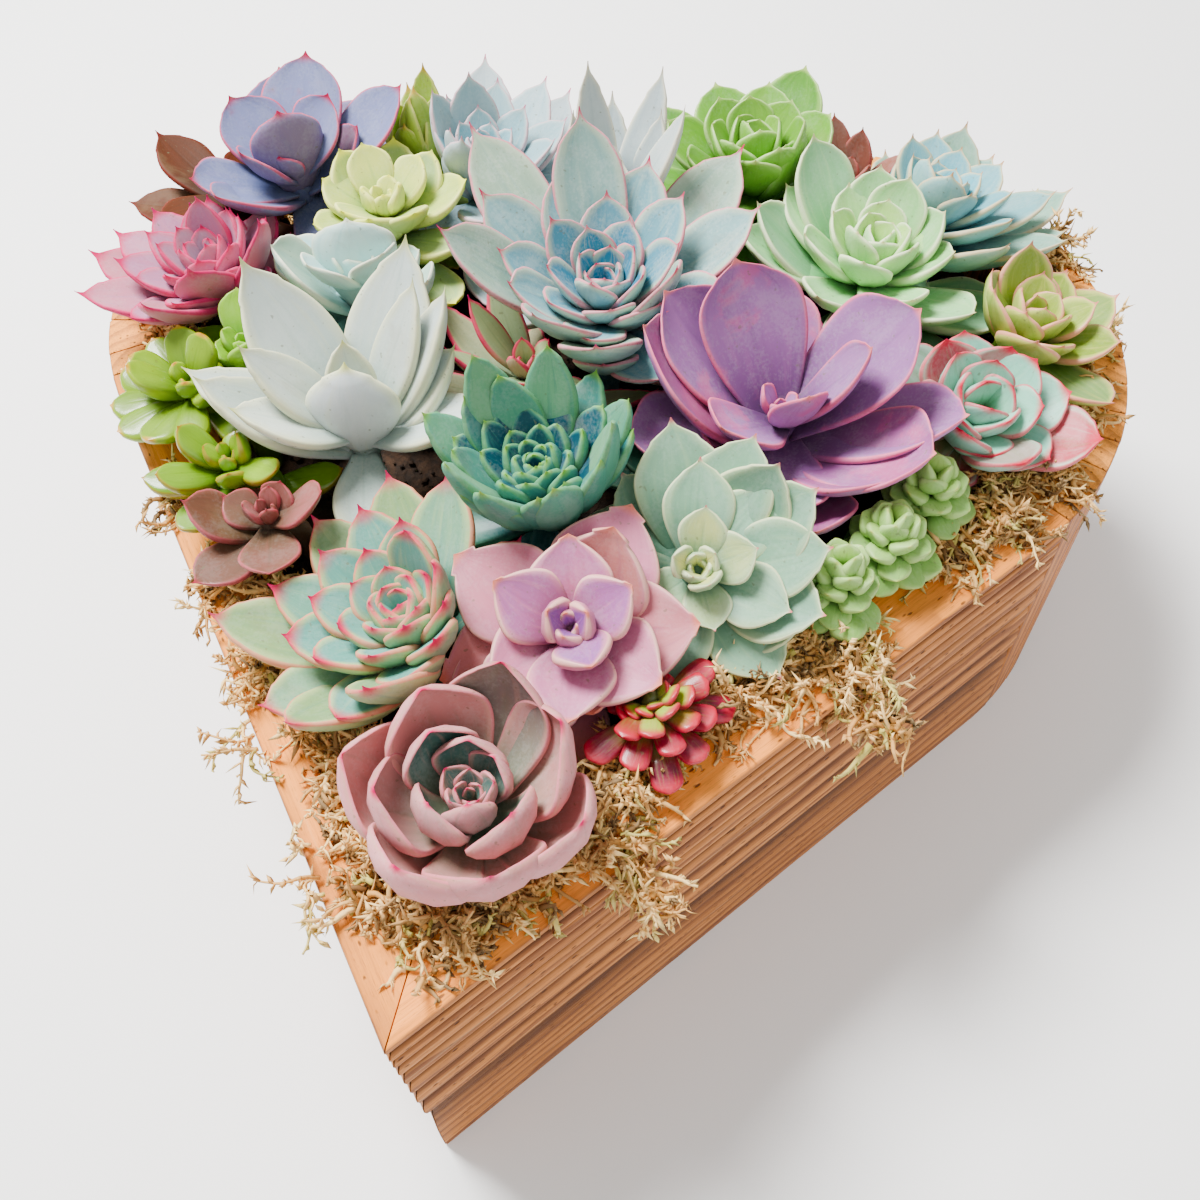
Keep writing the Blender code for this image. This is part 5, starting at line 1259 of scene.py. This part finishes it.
def strand_path(start, heading, length, steps, curl, weight):
    """A wandering line of points that sags on to what lies below it."""
    point, direction = np.array(start, float), unit(np.array(heading, float))
    bend = random.normal(0, curl, 3)
    path = [point]
    for _ in range(steps):
        bend = 0.7 * bend + random.normal(0, curl * 0.6, 3)
        direction = unit(direction + bend - UP * weight)
        point = point + direction * length / steps
        floor = surface(point[0], point[1]) + MOSS_REST
        if point[2] < floor < point[2] + 6:
            point = np.array([point[0], point[1], floor])
            direction = unit(direction * [1, 1, 0.2] + UP * 0.1)
        path.append(point)
    return np.array(path)


def add_strand(form, path, radius, tone, blades, blade_length):
    """A tapering stem of moss along a path, clothed with short curved blades."""
    steps = np.gradient(path, axis=0)
    rings = []
    for k, (point, step) in enumerate(zip(path, steps)):
        size = radius * (1 - 0.6 * k / (len(path) - 1))
        across = unit(np.cross(step, [0.31, 0.17, 0.93]))
        ahead = unit(np.cross(step, across))
        turns = np.linspace(0, 2 * pi, STRAND_SIDES, endpoint=False)
        rings.append(point + size * (np.outer(np.cos(turns), across) + np.outer(np.sin(turns), ahead)))
    out = np.repeat(np.linspace(0, 1, len(path)), STRAND_SIDES)
    numbers = np.column_stack([np.full(len(out), tone), out, np.zeros(len(out))])
    form.add(np.vstack(rings), ring_faces(len(path), STRAND_SIDES), strand_self=numbers)
    for _ in range(blades):
        where = random.uniform(0.05, 1.0) * (len(path) - 1)
        low = min(int(where), len(path) - 2)
        forward = unit(steps[low])
        spread = unit(np.cross(forward, random.normal(0, 1, 3)))
        root = path[low] + (path[low + 1] - path[low]) * (where - low)
        length = blade_length * random.uniform(0.6, 1.3)
        add_blade(form, root, forward * 0.8 + spread, spread, length, tone)


def add_blade(form, root, aim, hint, length, tone):
    """A short curved blade of moss, from its root along its aim."""
    aim = unit(aim)
    across = unit(np.cross(aim, hint + [0.01, 0.02, 0.03]))
    ahead = np.cross(aim, across)
    curve = random.normal(0, 0.35, 3)
    width = random.uniform(0.4, 0.85)
    middle = root + (aim + curve * 0.2) * length * 0.5
    points = [root + (across * a + ahead * b) * width * 0.6 for a, b in BLADE_CORNERS]
    points += [middle + (across * a + ahead * b) * width for a, b in BLADE_CORNERS]
    points.append(root + (aim + curve) * length)
    numbers = [(tone, 0.2, 0)] * 3 + [(tone, 0.6, 0)] * 3 + [(tone, 1.0, 0)]
    form.add(points, BLADE_FACES, strand_self=numbers)


def add_moss_strand(form, x, y, height, length):
    """A short strand that starts there in any direction."""
    turn = random.uniform(0, 2 * pi)
    heading = (cos(turn), sin(turn), random.uniform(-0.1, 0.5))
    path = strand_path((x, y, height), heading, length, 6, 0.38, 0.14)
    radius, tone = random.uniform(0.4, 0.85), random.random()
    blades = int(length * random.uniform(0.7, 1.3))
    add_strand(form, path, radius, tone, blades, random.uniform(1.5, 3.0))


def nearest_bed(x, y):
    """Name of the moss bed whose middle lies nearest to that point."""
    def away(name):
        """Distance from the point to the middle of that bed."""
        side, first, last = MOSS_BEDS[name]
        return hypot(*(round_inner_edge((first + last) / 2, WALL - 2, side) - [x, y]))
    return min(MOSS_BEDS, key=away)


def add_loose_strand(form, x, y, azimuth, length):
    """A long strand that has worked out of the moss and curls away over the rim."""
    turn = radians(azimuth + random.normal(0, 14))
    path = strand_path((x, y, RIM + 1.5), (sin(turn), cos(turn), 0.3), length, 12, 0.2, 0.05)
    add_strand(form, path, random.uniform(0.4, 0.6), random.uniform(0.4, 1.0), int(length * 1.1), 2.4)


def build_moss(name, material):
    """Loose dry moss over the inner edge of the rim, with the tufts that lie nearest."""
    form = Form()
    side, first, last = MOSS_BEDS[name]
    for _ in range(int((last - first) * MOSS_THICKLY)):
        distance = random.uniform(first - MOSS_BED_ENDS, last + MOSS_BED_ENDS)
        inset = WALL + random.uniform(-MOSS_OUT, MOSS_IN)
        x, y = round_inner_edge(distance, inset, side)
        low = surface(x, y)
        height = low + random.uniform(0.3, 3.0) if low == RIM else random.uniform(SOIL_TOP + 1, RIM + 2)
        add_moss_strand(form, x, y, height, random.uniform(4, 12))
    for x, y, reach, count in MOSS_TUFTS:
        if nearest_bed(x, y) != name:
            continue
        for _ in range(count):
            out, turn = reach * random.random() ** 0.6, random.uniform(0, 2 * pi)
            at_x, at_y = x + out * cos(turn), y + out * sin(turn)
            pile = MOSS_PILE * (1 - (out / reach) ** 2) * random.random()
            low = max(surface(at_x, at_y), RIM - 4)
            add_moss_strand(form, at_x, at_y, low + MOSS_REST + pile, random.uniform(4, 11))
    for strand in LOOSE_STRANDS:
        if nearest_bed(*strand[:2]) == name:
            for _ in range(LOOSE_EACH):
                add_loose_strand(form, *strand)
    return form.piece(name + "_strands", material, "moss", name)


# Stage

def look_from(camera):
    """Put the camera at the photograph's viewpoint."""
    yaw, pitch, roll = [radians(angle) for angle in CAMERA_TURN]
    forward = np.array([sin(yaw) * cos(pitch), cos(yaw) * cos(pitch), -sin(pitch)])
    right = np.array([cos(yaw), -sin(yaw), 0.0])
    down = np.cross(forward, right)
    image_right = cos(roll) * right + sin(roll) * down
    image_down = cos(roll) * down - sin(roll) * right
    turn = Matrix([(image_right[i], -image_down[i], -forward[i]) for i in range(3)])
    camera.matrix_world = Matrix.Translation(CAMERA_PLACE) @ turn.to_4x4()


def set_stage():
    """Camera, soft light from the upper left and a plain pale floor."""
    scene = bpy.context.scene
    camera = bpy.data.objects.new("camera", bpy.data.cameras.new("camera"))
    camera.data.lens = LENS
    camera.data.sensor_width = SENSOR
    camera.data.clip_start = 0.01
    scene.collection.objects.link(camera)
    look_from(camera)
    scene.camera = camera
    for name, (spot, size, watts) in LAMPS.items():
        lamp = bpy.data.lights.new(name, "AREA")
        lamp.size = size
        lamp.energy = watts
        thing = bpy.data.objects.new(name, lamp)
        scene.collection.objects.link(thing)
        thing.location = spot
        thing.rotation_euler = (Vector(LIT_PLACE) - Vector(spot)).to_track_quat("-Z", "Y").to_euler()
    world = bpy.data.worlds.new("studio")
    world.use_nodes = True
    background = world.node_tree.nodes["Background"]
    background.inputs["Color"].default_value = (1, 1, 1, 1)
    background.inputs["Strength"].default_value = STUDIO_LIGHT
    scene.world = world
    floor = bpy.data.meshes.new("floor")
    floor.from_pydata(FLOOR_CORNERS, [], [(0, 1, 2, 3)])
    floor.materials.append(floor_finish())
    thing = bpy.data.objects.new("floor", floor)
    scene.collection.objects.link(thing)


def main():
    """The whole arrangement: box, soil, plants and moss, then the stage."""
    woods = {name: wood_finish(name, *numbers) for name, numbers in WOODS.items()}
    moss = moss_finish("dry_moss", MOSS_COLOURS)
    for word, side in (("right", 1), ("left", -1)):
        build_board(word, side, woods["board_wood_" + word])
        for number in range(STAVE_BLOCKS):
            build_staves(word, side, number, woods["stave_wood"])
    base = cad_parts["base_panel"]
    base.data.materials.clear()
    base.data.materials.append(woods["base_wood"])
    build_soil(soil_finish("potting_soil"))
    grow_plants()
    for plant in PLANTS:
        build_plant(plant)
    for name in MOSS_BEDS:
        build_moss(name, moss)
    set_stage()


main()
